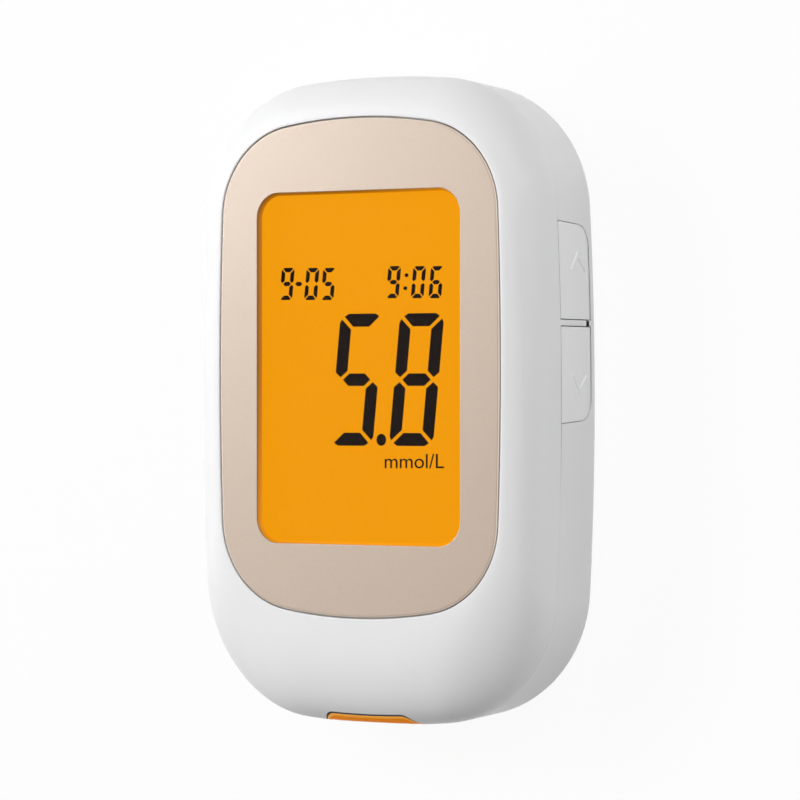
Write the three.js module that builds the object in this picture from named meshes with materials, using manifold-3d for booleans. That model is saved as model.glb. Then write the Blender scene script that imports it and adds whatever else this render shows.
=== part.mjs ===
// A blood glucose meter with a backlit display, two side keys and a strip port at its lower end.
//
// It lies on its back: +X is the key side, +Y the top end and +Z comes out of the display.
// The origin is on the ground under the middle of the body. All lengths are in millimetres.
// Heights are stacked from the face down and from the back up, so that each piece seats on the next.

import * as THREE from "three";
import { mergeVertices } from "three/addons/utils/BufferGeometryUtils.js";
import Module from "manifold-3d";

const wasm = await Module();
wasm.setup();

// Body: its outline is three tangent arcs to each quarter, a wide end arc, a corner arc and a long side arc
const bodyWidth = 62.4;
const bodyLength = 96.6;
const bodyHeight = 21;
const bodyEndRadius = 134;
const bodyCornerRadius = 20.2;
const bodySideRadius = 526;
const shoulderDepth = 6.65;
const wallLean = 0.5;
const backEdgeRadius = 5.1;
const sideWall = 2.4;
const backWall = 1.8;

// How full the shoulder's rounding is across and up: 1 is a straight bevel, 2 a quarter ellipse.
// The wide lower end is fuller, a gentle deck that turns down late, and it blends in round the corners.
const shoulderAcrossShare = 1.66;
const shoulderUpShare = 1.89;
const lowerEndShare = 2.8;
const lowerBlendShare = 8;

// Joint between the two shells
const partingGap = 0.2;
const lipSetback = 1.3;
const lipRise = 1.1;
const lipClearance = 0.2;

// Clearances
const fitGap = 0.3;
const glueGap = 0.15;
const cutOverrun = 1;

// Face panel and its window: the body shows more below the panel than above it
const panelSideMargin = 6.45;
const panelUpperMargin = 6.32;
const panelLowerMargin = 15.98;
const panelWidth = bodyWidth - 2 * panelSideMargin;
const panelLength = bodyLength - panelUpperMargin - panelLowerMargin;
const panelRise = (panelLowerMargin - panelUpperMargin) / 2;
const panelEndRadius = 82;
const panelCornerRadius = 13.7;
const panelSideRadius = 628;
const panelThickness = 0.8;
const panelGap = 0.15;
const panelBevel = 0.2;
const rimLand = 0.25;
const windowSideMargin = 6.825;
const windowEndMargin = 10.875;
const windowWidth = panelWidth - 2 * windowSideMargin;
const windowLength = panelLength - 2 * windowEndMargin;
const windowCornerRadius = 3.8;
const trimGap = 0.1;
const trimWidth = 0.45;
const trimLand = 0.1;
const trimDrop = 0.15;

// Lens and the display behind it
const lensMargin = 2.1;
const lensThickness = 1.2;
const ledgeThickness = 0.6;
const ledgeWidth = 0.9;
const displayMargin = 2.2;
const displaySheet = 0.65;
const contactEdge = 2.6;
const guideThickness = 0.8;
const guideSetback = 1.5;
const frameWall = 1.2;
const frameGap = 0.25;
const frameLedge = 1.1;
const framePegRadius = 0.9;
const framePegInset = 4;
const stripWidth = 1.8;
const lampLength = 3.8;
const lampDepth = 1;

// Main circuit board and what it carries
const boardThickness = 1;
const boardSetback = 4.2;
const boardKeyNotch = 0.7;
const boardHoleGap = 0.35;
const processorSize = 10;
const processorHeight = 1.4;
const processorX = 9;
const processorFromEnd = 18.8;
const leadWidth = 0.4;
const leadLength = 0.8;
const leadHeight = 0.3;
const leadPitch = 1.15;
const leadCount = 7;
const amplifierWidth = 5;
const amplifierLength = 4;
const amplifierHeight = 1.5;
const amplifierFromSocket = 6.5;
const amplifierFromEnd = 9.3;
const amplifierLeadPitch = 1.27;
const amplifierLeadCount = 4;
const buzzerRadius = 5;
const buzzerHeight = 3;
const buzzerHoleRadius = 1;
const buzzerX = -9;
const buzzerFromEnd = 20.3;
const crystalRadius = 1;
const crystalLength = 6;
const crystalFromEnd = 10.3;

// Battery bay, two small cells side by side, and their contacts
const bayFromUpperEnd = 29.3;
const bayFromLowerEnd = 16.8;
const bayEndRoom = 6;
const baySidePlay = 1;
const bayWall = 1.2;
const bayCeiling = 1.1;
const cellPlay = 0.75;
const cellGap = 0.6;
const nubRadius = 1.9;
const nubHeight = 0.9;
const cellEdgeRound = 0.6;
const plateThickness = 0.4;
const plateSideMargin = 0.95;
const plateAboveDoor = 2.1;
const plateBelowCeiling = 1.75;
const plateTailWidth = 2;
const springWire = 0.45;
const springWideShare = 0.65;
const springNarrowShare = 0.4;
const springTurnCount = 4;
const turnStepCount = 10;
const springCurveCount = 3;

// Battery door, with two tabs at its upper edge and a latch at its lower edge
const doorThickness = 1.4;
const doorInset = 0.2;
const doorCornerRadius = 1.2;
const doorRailWidth = 0.8;
const doorRailHeight = 0.8;
const doorRailEnd = 3.5;
const tabWidth = 2;
const tabThickness = 0.8;
const tabReach = 1.3;
const tabSideMargin = 1.5;
const tabLift = 0.4;
const latchWidth = 8;
const latchLength = 7;
const latchSlot = 0.7;
const latchBarb = 0.6;
const gripRibWidth = 0.8;
const gripRibDepth = 0.3;
const gripRibPitch = 1.6;
const gripRibCount = 3;
const thumbScoopRadius = 9;
const thumbScoopDepth = 0.9;
const doorPadWidth = 1.2;
const doorPadHeight = 0.7;

// A shallow place for a label, left bare, on the back between the upper screws
const labelWidth = 23;
const labelLength = 16;
const labelFromEnd = 7.3;
const labelDepth = 0.25;
const labelCornerRadius = 1.5;

// Screw posts: a tall one under the face and a short one from the back at each place
const upperPostFromSide = 15.2;
const upperPostFromEnd = 9.7;
const lowerPostFromSide = 10.2;
const lowerPostFromEnd = 16.8;
const facePostRadius = 2.8;
const postShoulder = 0.7;
const backPostRadius = 3.1;
const screwSeatRise = 3.8;
const seatThickness = 2.5;
const counterboreRadius = 2.25;
const screwHoleRadius = 1.2;
const pilotRadius = 1.1;
const pilotEndWall = 1.6;
const screwEndRoom = 2.05;
const screwHeadRadius = 1.9;
const screwHeadHeight = 1.5;
const screwCrownShare = 0.8;
const screwShankRadius = 0.95;
const screwTipLength = 1.2;
const crossLength = 2.2;
const crossWidth = 0.5;
const crossDepth = 0.8;

// Side keys in a pocket of the back shell, closed by the face shell, with a tongue between them
const keysFromEnd = 22.15;
const keysLength = 29.5;
const keysTaper = 0.5;
const keysCornerRadius = 3.2;
const keyIntoEdge = 0.15;
const keyGap = 0.2;
const keyStandBack = 0.12;
const barGap = 0.1;
const barWidth = 0.93;
const barRise = 1;
const barSlotRise = 0.3;
const barDepth = 1.6;
const keyFlange = 0.9;
const keyFlangeMargin = 0.5;
const keyPostRadius = 1.5;
const chevronHalf = 2.2;
const chevronRise = 2.6;
const chevronStroke = 1.2;
const chevronFoot = 0.5;
const chevronDrop = 1.1;
const chevronFromBar = 10.6;

// Key switches under the board
const switchWidth = 6;
const switchHeight = 6;
const switchDepth = 3.6;
const switchFromSide = 7.2;
const plungerRadius = 1.7;
const plungerReach = 0.7;
const plungerLength = 2.2;
const plungerWellDepth = 2.4;

// Strip port: an insert whose face is flush with the lower end, and the socket behind it
const portBelowFace = 2.8;
const portFrontHalf = 6.8;
const portMiddleHalf = 8.5;
const portBelowParting = 4.75;
const portBackHalf = 6.9;
const portBackSlope = 1.6;
const portCornerRadius = 0.6;
const portUpperRadius = 1;
const portGap = 0.15;
const portShoulderRise = 1.65;
const portRim = 0.5;
const portFaceDepth = 0.4;
const portDepth = 4.9;
const portEar = 1.2;
const portEarThickness = 1;
const portEarDrop = 2.4;
const portEarRise = 1.3;
const slotBelowParting = 1.75;
const slotWidth = 7.6;
const slotThickness = 1.2;
const mouthWidth = 9.8;
const mouthThickness = 3;
const mouthDepth = 1.8;
const socketWidth = 13;
const socketLength = 9.6;
const socketSlotDepth = 8;
const socketFloor = 0.9;
const contactWidth = 0.8;
const contactPitch = 2.2;
const contactCount = 3;
const contactThickness = 0.25;
const contactHump = 0.7;

// Ribs inside the shells
const ribThickness = 1;
const backRibRise = 1.5;
const backRibRoot = 1.2;
const backRibEndInset = 3;
const backRibShares = [0.27, 0.54, 0.86];
const faceRibShares = [-0.35, 0.45];
const shoulderWall = 1;

// Smoothness
const cornerStepCount = 8;
const endStepCount = 3;
const sideStepCount = 3;
const shoulderStepCount = 7;
const roundCount = 20;
const cellSideCount = 24;
const screwSideCount = 14;
const postSideCount = 10;
const curveStepCount = 4;

// Heights worked out from the stack
const faceZ = bodyHeight;
const partingZ = faceZ - shoulderDepth;
const panelBackZ = faceZ - panelThickness;
const recessZ = panelBackZ - glueGap;
const lensBackZ = recessZ - lensThickness;
const ledgeTopZ = lensBackZ - glueGap;
const ceilingZ = ledgeTopZ - ledgeThickness;
const displayTopZ = ceilingZ - fitGap;
const displayBackZ = displayTopZ - 2 * displaySheet;
const guideTopZ = displayBackZ - glueGap;
const guideBackZ = guideTopZ - guideThickness;
const boardTopZ = guideBackZ - glueGap;
const boardBackZ = boardTopZ - boardThickness;
const bayTopZ = boardBackZ - glueGap;
const bayCeilingZ = bayTopZ - bayCeiling;
const doorTopZ = doorInset + doorThickness;
const cellRadius = (bayCeilingZ - fitGap - doorTopZ - cellPlay) / 2;
const cellAxisZ = bayCeilingZ - fitGap - cellRadius;
const faceShellZ = partingZ + partingGap / 2;
const backShellZ = partingZ - partingGap / 2;

// Battery bay: the cells fill it but for the room that the springs and plates take
const upperEndY = bodyLength / 2;
const lowerEndY = -bodyLength / 2;
const bayLowY = lowerEndY + bayFromLowerEnd;
const bayHighY = upperEndY - bayFromUpperEnd;
const bayLength = bayHighY - bayLowY;
const cellLength = bayLength - bayEndRoom;
const cellSpacing = 2 * cellRadius + cellGap;
const bayWidth = cellSpacing + 2 * cellRadius + baySidePlay;
const doorHighY = bayHighY - fitGap;
const doorLowY = bayLowY + fitGap;
const tabX = bayWidth / 2 - tabSideMargin;
const plateWidth = 2 * (cellRadius - plateSideMargin);
const plateLow = doorTopZ + plateAboveDoor;
const plateHigh = bayCeilingZ - plateBelowCeiling;

// Screws: each seats in the back half's post and reaches most of the way up its pilot hole
const screwSeatHeight = backWall + screwSeatRise;
const postMeetHeight = screwSeatHeight + seatThickness;
const screwLength = ceilingZ - pilotEndWall - screwEndRoom - (screwSeatHeight - glueGap);
const postPlaces = [
  ["upper_left", -(bodyWidth / 2 - upperPostFromSide), upperEndY - upperPostFromEnd],
  ["upper_right", bodyWidth / 2 - upperPostFromSide, upperEndY - upperPostFromEnd],
  ["lower_left", -(bodyWidth / 2 - lowerPostFromSide), lowerEndY + lowerPostFromEnd],
  ["lower_right", bodyWidth / 2 - lowerPostFromSide, lowerEndY + lowerPostFromEnd],
];

// Keys: they start just inside the back edge's rounding and end under the face shell
const keyBackHeight = backEdgeRadius - keyIntoEdge;
const keyTopZ = faceShellZ - keyGap;
const keysMiddleY = upperEndY - keysFromEnd - keysLength / 2;
const barY = keysMiddleY;
const barEndHeight = keyBackHeight + barRise;
const barSlotHeight = keyBackHeight + barSlotRise;
const chevronHeight = (keyBackHeight + keyTopZ) / 2 - chevronDrop;
const switchFaceX = bodyWidth / 2 - switchFromSide;

// Strip port and socket
const portFrontHeight = faceZ - portBelowFace;
const portBackHeight = partingZ - portBelowParting;
const portInnerY = lowerEndY + portDepth;
const slotHeight = partingZ - slotBelowParting;

const colour = {
  white: new THREE.MeshStandardMaterial({ color: 0xf4f4f5, roughness: 0.35 }),
  champagne: new THREE.MeshStandardMaterial({ color: 0xd6c3b1, roughness: 0.4, metalness: 0.5 }),
  clear: new THREE.MeshStandardMaterial({ color: 0xf2a51e, roughness: 0.1 }),
  trim: new THREE.MeshStandardMaterial({ color: 0xd8890f, roughness: 0.35 }),
  amber: new THREE.MeshStandardMaterial({ color: 0xf39d14, roughness: 0.4 }),
  orange: new THREE.MeshStandardMaterial({ color: 0xf09a1c, roughness: 0.35 }),
  keyWhite: new THREE.MeshStandardMaterial({ color: 0xe9e9ea, roughness: 0.5 }),
  carrier: new THREE.MeshStandardMaterial({ color: 0xeeeeea, roughness: 0.6 }),
  rubber: new THREE.MeshStandardMaterial({ color: 0x3a3a3c, roughness: 0.8 }),
  board: new THREE.MeshStandardMaterial({ color: 0x1f6b3a, roughness: 0.5 }),
  chip: new THREE.MeshStandardMaterial({ color: 0x1d1d1f, roughness: 0.5 }),
  steel: new THREE.MeshStandardMaterial({ color: 0xc4c6c9, roughness: 0.3, metalness: 1 }),
  gold: new THREE.MeshStandardMaterial({ color: 0xd9b04a, roughness: 0.3, metalness: 1 }),
  cell: new THREE.MeshStandardMaterial({ color: 0x5d6f86, roughness: 0.35, metalness: 0.4 }),
};

// A geometry as a manifold solid
function solid(geometry) {
  const bare = geometry.clone();
  bare.deleteAttribute("normal");
  bare.deleteAttribute("uv");
  const merged = mergeVertices(bare);
  return new wasm.Manifold(
    new wasm.Mesh({
      numProp: 3,
      vertProperties: new Float32Array(merged.attributes.position.array),
      triVerts: new Uint32Array(merged.index.array),
    }),
  );
}

// A manifold solid back as a geometry
function geometryOf(made) {
  const mesh = made.getMesh();
  const geometry = new THREE.BufferGeometry();
  geometry.setAttribute("position", new THREE.BufferAttribute(mesh.vertProperties, 3));
  geometry.setIndex(new THREE.BufferAttribute(mesh.triVerts, 1));
  geometry.computeVertexNormals();
  return geometry;
}

function join(solids) {
  return solids.reduce((sum, next) => sum.add(next));
}

function cut(made, tools) {
  return tools.reduce((rest, tool) => rest.subtract(tool), made);
}

// A block given by its low and high corners
function block(low, high) {
  const geometry = new THREE.BoxGeometry(high[0] - low[0], high[1] - low[1], high[2] - low[2]);
  geometry.translate((low[0] + high[0]) / 2, (low[1] + high[1]) / 2, (low[2] + high[2]) / 2);
  return solid(geometry);
}

// An upright round post from one height to another
function post(x, y, lowZ, highZ, radius, sides = roundCount) {
  const geometry = new THREE.CylinderGeometry(radius, radius, highZ - lowZ, sides);
  geometry.rotateX(Math.PI / 2);
  geometry.translate(x, y, (lowZ + highZ) / 2);
  return solid(geometry);
}

// A shape drawn in X and Y, standing from one height to another
function upright(shape, lowZ, highZ, curveSegments = curveStepCount) {
  const geometry = new THREE.ExtrudeGeometry(shape, {
    depth: highZ - lowZ,
    bevelEnabled: false,
    curveSegments,
  });
  geometry.translate(0, 0, lowZ);
  return solid(geometry);
}

// A shape drawn in Y and Z, carried from one X to another
function sideways(shape, lowX, highX, curveSegments = curveStepCount) {
  const geometry = new THREE.ExtrudeGeometry(shape, {
    depth: highX - lowX,
    bevelEnabled: false,
    curveSegments,
  });
  geometry.applyMatrix4(new THREE.Matrix4().set(0, 0, 1, lowX, 1, 0, 0, 0, 0, 1, 0, 0, 0, 0, 0, 1));
  return solid(geometry);
}

// A shape drawn in X and Z, carried from one Y to another
function lengthways(shape, lowY, highY, curveSegments = curveStepCount) {
  const geometry = new THREE.ExtrudeGeometry(shape, {
    depth: highY - lowY,
    bevelEnabled: false,
    curveSegments,
  });
  geometry.applyMatrix4(new THREE.Matrix4().set(1, 0, 0, 0, 0, 0, -1, highY, 0, 1, 0, 0, 0, 0, 0, 1));
  return solid(geometry);
}

// A rounded rectangle about a middle
function roundedRectangle(width, length, radius, x = 0, y = 0) {
  const shape = new THREE.Shape();
  const w = width / 2 - radius;
  const l = length / 2 - radius;
  shape.absarc(x + w, y + l, radius, 0, Math.PI / 2, false);
  shape.absarc(x - w, y + l, radius, Math.PI / 2, Math.PI, false);
  shape.absarc(x - w, y - l, radius, Math.PI, 1.5 * Math.PI, false);
  shape.absarc(x + w, y - l, radius, 1.5 * Math.PI, 2 * Math.PI, false);
  return shape;
}

// A polygon whose corners are rounded by quadratic curves that start a radius away from each corner
function roundedPolygon(corners, radii) {
  const points = corners.map(([x, y]) => new THREE.Vector2(x, y));
  const shape = new THREE.Shape();
  points.forEach((corner, i) => {
    const before = points[(i + points.length - 1) % points.length];
    const after = points[(i + 1) % points.length];
    const enter = corner.clone().add(before.clone().sub(corner).setLength(radii[i]));
    const leave = corner.clone().add(after.clone().sub(corner).setLength(radii[i]));
    if (i === 0) shape.moveTo(enter.x, enter.y);
    else shape.lineTo(enter.x, enter.y);
    shape.quadraticCurveTo(corner.x, corner.y, leave.x, leave.y);
  });
  shape.closePath();
  return shape;
}

// The outline of three tangent arcs to a quarter, drawn in by an inset
function arcOutline(spec, inset = 0) {
  const halfWidth = spec.width / 2 - inset;
  const halfLength = spec.length / 2 - inset;
  const endRadius = spec.endRadius - inset;
  const cornerRadius = spec.cornerRadius - inset;
  const sideRadius = spec.sideRadius - inset;
  const endCentre = new THREE.Vector2(0, halfLength - endRadius);
  const sideCentre = new THREE.Vector2(halfWidth - sideRadius, 0);
  // The corner's centre is as far from each of the other two as their radii differ
  const toEnd = endRadius - cornerRadius;
  const toSide = sideRadius - cornerRadius;
  const between = sideCentre.clone().sub(endCentre);
  const apart = between.length();
  const along = (toEnd ** 2 - toSide ** 2 + apart ** 2) / (2 * apart);
  const across = Math.sqrt(Math.max(toEnd ** 2 - along ** 2, 0));
  const unit = between.clone().normalize();
  const corner = endCentre.clone().addScaledVector(unit, along);
  corner.add(new THREE.Vector2(unit.y, -unit.x).multiplyScalar(across));
  const sideAngle = corner.clone().sub(sideCentre).angle();
  const endAngle = corner.clone().sub(endCentre).angle();
  const arcs = [
    [sideCentre, sideRadius, 0, sideAngle, sideStepCount],
    [corner, cornerRadius, sideAngle, endAngle, cornerStepCount],
    [endCentre, endRadius, endAngle, Math.PI / 2, endStepCount],
  ];
  const quarter = [];
  for (const [centre, radius, from, to, steps] of arcs)
    for (let i = 0; i < steps; i++) {
      const angle = from + ((to - from) * i) / steps;
      quarter.push(new THREE.Vector2(radius * Math.cos(angle), radius * Math.sin(angle)).add(centre));
    }
  quarter.push(new THREE.Vector2(0, halfLength));
  const mirrored = (sx, sy) => quarter.map((p) => new THREE.Vector2(sx * p.x, sy * p.y));
  const outline = [
    ...quarter,
    ...mirrored(-1, 1).reverse().slice(1),
    ...mirrored(-1, -1).slice(1),
    ...mirrored(1, -1).reverse().slice(1, -1),
  ];
  return outline.map((p) => new THREE.Vector2(p.x, p.y + (spec.rise ?? 0)));
}

const bodySpec = {
  width: bodyWidth,
  length: bodyLength,
  endRadius: bodyEndRadius,
  cornerRadius: bodyCornerRadius,
  sideRadius: bodySideRadius,
};
const panelSpec = {
  width: panelWidth,
  length: panelLength,
  endRadius: panelEndRadius,
  cornerRadius: panelCornerRadius,
  sideRadius: panelSideRadius,
  rise: panelRise,
};

// A closed solid through outlines of equal point count, each at its own height, lowest first
function loft(rings) {
  const count = rings[0].outline.length;
  const positions = rings.flatMap(({ outline, z }) => outline.flatMap((p) => [p.x, p.y, z]));
  const faces = [];
  for (let r = 0; r + 1 < rings.length; r++)
    for (let i = 0; i < count; i++) {
      const a = r * count + i;
      const b = r * count + ((i + 1) % count);
      faces.push(a, b, b + count, a, b + count, a + count);
    }
  const cap = THREE.ShapeUtils.triangulateShape(rings[0].outline, []);
  const top = (rings.length - 1) * count;
  for (const [a, b, c] of cap) faces.push(a, c, b, top + a, top + b, top + c);
  const geometry = new THREE.BufferGeometry();
  geometry.setAttribute("position", new THREE.Float32BufferAttribute(positions, 3));
  geometry.setIndex(faces);
  return solid(geometry);
}

// The shoulder's outline at a height: between the panel's rim and the body's widest outline
function shoulderOutline(z, inset = 0) {
  const up = Math.min(Math.max((z - partingZ) / shoulderDepth, 0), 1);
  const rim = arcOutline(panelSpec, inset - panelGap - rimLand);
  const wide = arcOutline(bodySpec, inset);
  return rim.map((p, i) => {
    // How squarely the outline faces the lower end here
    const ahead = wide[(i + 1) % wide.length].clone().sub(wide[(i + wide.length - 1) % wide.length]);
    const lower = Math.max(ahead.x / ahead.length(), 0) ** lowerBlendShare;
    const acrossShare = THREE.MathUtils.lerp(shoulderAcrossShare, lowerEndShare, lower);
    const upShare = THREE.MathUtils.lerp(shoulderUpShare, lowerEndShare, lower);
    return p.clone().lerp(wide[i], (1 - up ** upShare) ** (1 / acrossShare));
  });
}

// The whole outside form above the parting plane, from a height up to the face
function faceForm(lowZ, inset = 0) {
  const rings = [{ outline: shoulderOutline(lowZ, inset), z: lowZ }];
  for (let i = 1; i <= shoulderStepCount; i++) {
    // Equal turns of the rounding give closer rings where it curves most
    const turn = (i / shoulderStepCount) * (Math.PI / 2);
    const z = partingZ + shoulderDepth * Math.sin(turn) ** (2 / shoulderUpShare);
    if (z > lowZ) rings.push({ outline: shoulderOutline(z, inset), z });
  }
  return loft(rings);
}

// How far the back half's outside is drawn in at a height
function backInset(z) {
  if (z >= backEdgeRadius) return (wallLean * (partingZ - z)) / (partingZ - backEdgeRadius);
  return wallLean + backEdgeRadius - Math.sqrt(backEdgeRadius ** 2 - (backEdgeRadius - z) ** 2);
}

// The whole outside form from the back up to a height
function backForm(highZ, inset = 0) {
  const turnShares = [0, 0.2, 0.4, 0.6, 0.8, 1];
  const heights = turnShares.map((share) => backEdgeRadius * (1 - Math.cos(share * (Math.PI / 2))));
  const rings = [...heights, highZ].map((z) => ({
    outline: arcOutline(bodySpec, backInset(z) + inset),
    z,
  }));
  return loft(rings);
}

// A straight ring or plug that follows the body's outline at an inset
function bodyPlug(inset, lowZ, highZ) {
  const outline = arcOutline(bodySpec, inset);
  return loft([
    { outline, z: lowZ },
    { outline, z: highZ },
  ]);
}

// The keys' pocket outline in Y and Z, grown or shrunk by a margin, over one stretch of Y
function keyShape(lowY, highY, margin, topZ) {
  const backZ = keyBackHeight - margin;
  const depth = topZ - backZ;
  const slope = keysTaper / (backShellZ - keyBackHeight);
  const low = Math.max(lowY, keysMiddleY - keysLength / 2) - margin;
  const high = Math.min(highY, keysMiddleY + keysLength / 2) + margin;
  const taper = slope * depth;
  const isLow = lowY < keysMiddleY - keysLength / 2;
  const isHigh = highY > keysMiddleY + keysLength / 2;
  const small = keyGap;
  const corners = [
    [low, topZ],
    [low + (isLow ? taper : 0), backZ],
    [high - (isHigh ? taper : 0), backZ],
    [high, topZ],
  ];
  const round = keysCornerRadius + margin;
  return roundedPolygon(corners, [small, isLow ? round : small, isHigh ? round : small, small]);
}

const keyHalfBar = barWidth / 2 + barGap;
const keyStretches = {
  up: [barY + keyHalfBar, keysMiddleY + keysLength],
  down: [keysMiddleY - keysLength, barY - keyHalfBar],
};
const keyMiddles = {
  up: (barY + keyHalfBar + keysMiddleY + keysLength / 2) / 2,
  down: (barY - keyHalfBar + keysMiddleY - keysLength / 2) / 2,
};
const farX = bodyWidth / 2 + cutOverrun;
const keyRootX = bodyWidth / 2 - sideWall - 2 * cutOverrun;

// What the back shell leaves open for one key
function keyOpening(stretch) {
  const shape = keyShape(stretch[0], stretch[1], keyGap, backShellZ + lipRise + cutOverrun);
  return sideways(shape, keyRootX, farX);
}

// The strip port's outline in X and Z, grown by a margin
function portShape(margin) {
  const bevelGrowth = margin * Math.tan(Math.PI / 8);
  const right = [
    [portBackHalf + bevelGrowth, portBackHeight - margin],
    [portMiddleHalf + margin, portBackHeight + portBackSlope - bevelGrowth],
    [portMiddleHalf + margin, partingZ + portShoulderRise],
    [portFrontHalf + bevelGrowth, portFrontHeight + margin],
  ];
  const left = right.map(([x, z]) => [-x, z]).reverse();
  const radii = [portCornerRadius, portCornerRadius, portCornerRadius, portUpperRadius];
  return roundedPolygon([...right, ...left], [...radii, ...radii.toReversed()]);
}

// Face shell: a domed cover with the panel's recess, the lens pocket, four long posts and the key tongue
function faceShell() {
  const outside = faceForm(faceShellZ);
  const hollowLow = faceShellZ + lipRise + lipClearance;
  const hollowTop = ceilingZ;
  const stepShares = [0, 0.35, 0.7, 1];
  const hollow = loft(
    stepShares.map((share) => {
      const z = hollowLow - cutOverrun + (hollowTop - hollowLow + cutOverrun) * share;
      return { outline: shoulderOutline(z + shoulderWall, sideWall), z };
    }),
  );
  const rebate = bodyPlug(lipSetback - lipClearance, faceShellZ - cutOverrun, hollowLow);
  const recess = loft([
    { outline: arcOutline(panelSpec, -panelGap), z: recessZ },
    { outline: arcOutline(panelSpec, -panelGap), z: faceZ + cutOverrun },
  ]);
  const pocketWidth = windowWidth + 2 * (lensMargin + lipClearance);
  const pocketLength = windowLength + 2 * (lensMargin + lipClearance);
  const pocketRadius = windowCornerRadius + lensMargin + lipClearance;
  const pocket = upright(
    roundedRectangle(pocketWidth, pocketLength, pocketRadius, 0, panelRise),
    ledgeTopZ,
    recessZ + cutOverrun,
  );
  const view = upright(
    roundedRectangle(
      pocketWidth - 2 * ledgeWidth,
      pocketLength - 2 * ledgeWidth,
      pocketRadius - ledgeWidth,
      0,
      panelRise,
    ),
    ceilingZ - cutOverrun,
    ledgeTopZ + cutOverrun,
  );
  const port = lengthways(portShape(portGap), lowerEndY - cutOverrun, portInnerY + cutOverrun);
  const shell = cut(outside, [hollow, rebate, recess, pocket, view, port]);
  // Each post passes through the board, which seats against the post's wider root
  const posts = postPlaces.flatMap(([, x, y]) => [
    post(x, y, postMeetHeight + fitGap, ceilingZ + ledgeThickness, facePostRadius),
    post(x, y, boardTopZ + glueGap, ceilingZ + ledgeThickness, facePostRadius + postShoulder),
  ]);
  const pilots = postPlaces.map(([, x, y]) =>
    post(x, y, postMeetHeight - cutOverrun, ceilingZ - pilotEndWall, pilotRadius, postSideCount),
  );
  return cut(join([shell, ...posts, keyTongue(), ...faceRibs()]), pilots);
}

// The tongue of the face shell that runs down between the two keys, flush with the side
function keyTongue() {
  const height = [barEndHeight, faceShellZ + partingGap];
  const bar = block(
    [bodyWidth / 2 - barDepth, barY - barWidth / 2, height[0]],
    [farX, barY + barWidth / 2, height[1]],
  );
  const reach = backForm(faceShellZ).add(faceForm(faceShellZ - partingGap));
  return bar.intersect(reach);
}

// Two stiffening ribs on each side of the display, under the face
function faceRibs() {
  const displayHalf = windowWidth / 2 + displayMargin + frameGap + frameWall;
  const outer = shoulderOutline(ceilingZ + shoulderWall, sideWall / 2);
  const reach = loft([
    { outline: outer, z: boardTopZ },
    { outline: outer, z: ceilingZ + ledgeThickness },
  ]);
  const ribs = [];
  for (const side of [-1, 1])
    for (const share of faceRibShares) {
      const y = panelRise + share * windowLength;
      const near = side * (displayHalf + 2 * fitGap);
      const far = (side * bodyWidth) / 2;
      const low = [Math.min(near, far), y - ribThickness / 2, boardTopZ + glueGap];
      const high = [Math.max(near, far), y + ribThickness / 2, ceilingZ + ledgeThickness];
      ribs.push(block(low, high).intersect(reach));
    }
  return ribs;
}

// Face panel: a thin champagne plate with a bevelled edge and the window cut through
function facePanel() {
  const plate = loft([
    { outline: arcOutline(panelSpec), z: panelBackZ },
    { outline: arcOutline(panelSpec), z: faceZ - panelBevel },
    { outline: arcOutline(panelSpec, panelBevel), z: faceZ },
  ]);
  return plate.subtract(upright(windowShape(), panelBackZ - cutOverrun, faceZ + cutOverrun));
}

function windowShape(inset = 0) {
  const width = windowWidth - 2 * inset;
  const length = windowLength - 2 * inset;
  return roundedRectangle(width, length, windowCornerRadius - inset, 0, panelRise);
}

// Trim ring: it lines the panel's opening, and its inner side slopes down to the lens
function windowTrim() {
  const highZ = faceZ - trimDrop;
  const ring = (inset, z) => ({ outline: windowShape(inset).getPoints(curveStepCount), z });
  const opening = loft([
    ring(trimGap + trimWidth, panelBackZ - cutOverrun),
    ring(trimGap + trimWidth, panelBackZ),
    ring(trimGap + trimLand, highZ),
    ring(trimGap + trimLand, highZ + cutOverrun),
  ]);
  return upright(windowShape(trimGap), panelBackZ, highZ).subtract(opening);
}

function windowLens() {
  const width = windowWidth + 2 * lensMargin;
  const length = windowLength + 2 * lensMargin;
  const radius = windowCornerRadius + lensMargin;
  return upright(roundedRectangle(width, length, radius, 0, panelRise), lensBackZ, recessZ);
}

const displayWidth = windowWidth + 2 * displayMargin;
const displayLength = windowLength + 2 * displayMargin;
const displayLowY = panelRise - displayLength / 2;
const displayHighY = panelRise + displayLength / 2;

// Display: a front sheet with a bare contact edge below, and a shorter sheet behind it
function displayGlass() {
  const front = block(
    [-displayWidth / 2, displayLowY - contactEdge, displayTopZ - displaySheet],
    [displayWidth / 2, displayHighY, displayTopZ],
  );
  const back = block(
    [-displayWidth / 2, displayLowY, displayBackZ],
    [displayWidth / 2, displayHighY, displayTopZ - displaySheet / 2],
  );
  return front.add(back);
}

// Light guide: a clear plate behind the display, notched at its upper edge for the lamp
function lightGuide() {
  const half = displayWidth / 2 - guideSetback;
  const plate = block(
    [-half, displayLowY + guideSetback, guideBackZ],
    [half, displayHighY - guideSetback, guideTopZ],
  );
  return plate.subtract(lampBlock(glueGap));
}

function lampBlock(margin) {
  const highY = displayHighY - guideSetback + margin;
  return block(
    [-lampLength / 2 - margin, highY - lampDepth - 2 * margin, guideBackZ - (margin ? cutOverrun : 0)],
    [lampLength / 2 + margin, highY, guideTopZ - glueGap + (margin ? cutOverrun : 0)],
  );
}

const pegPlaces = [-1, 1].flatMap((sx) =>
  [displayLowY + framePegInset, displayHighY - framePegInset].map((y) => [
    sx * (displayWidth / 2 + frameGap + frameWall / 2),
    y,
  ]),
);

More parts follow.
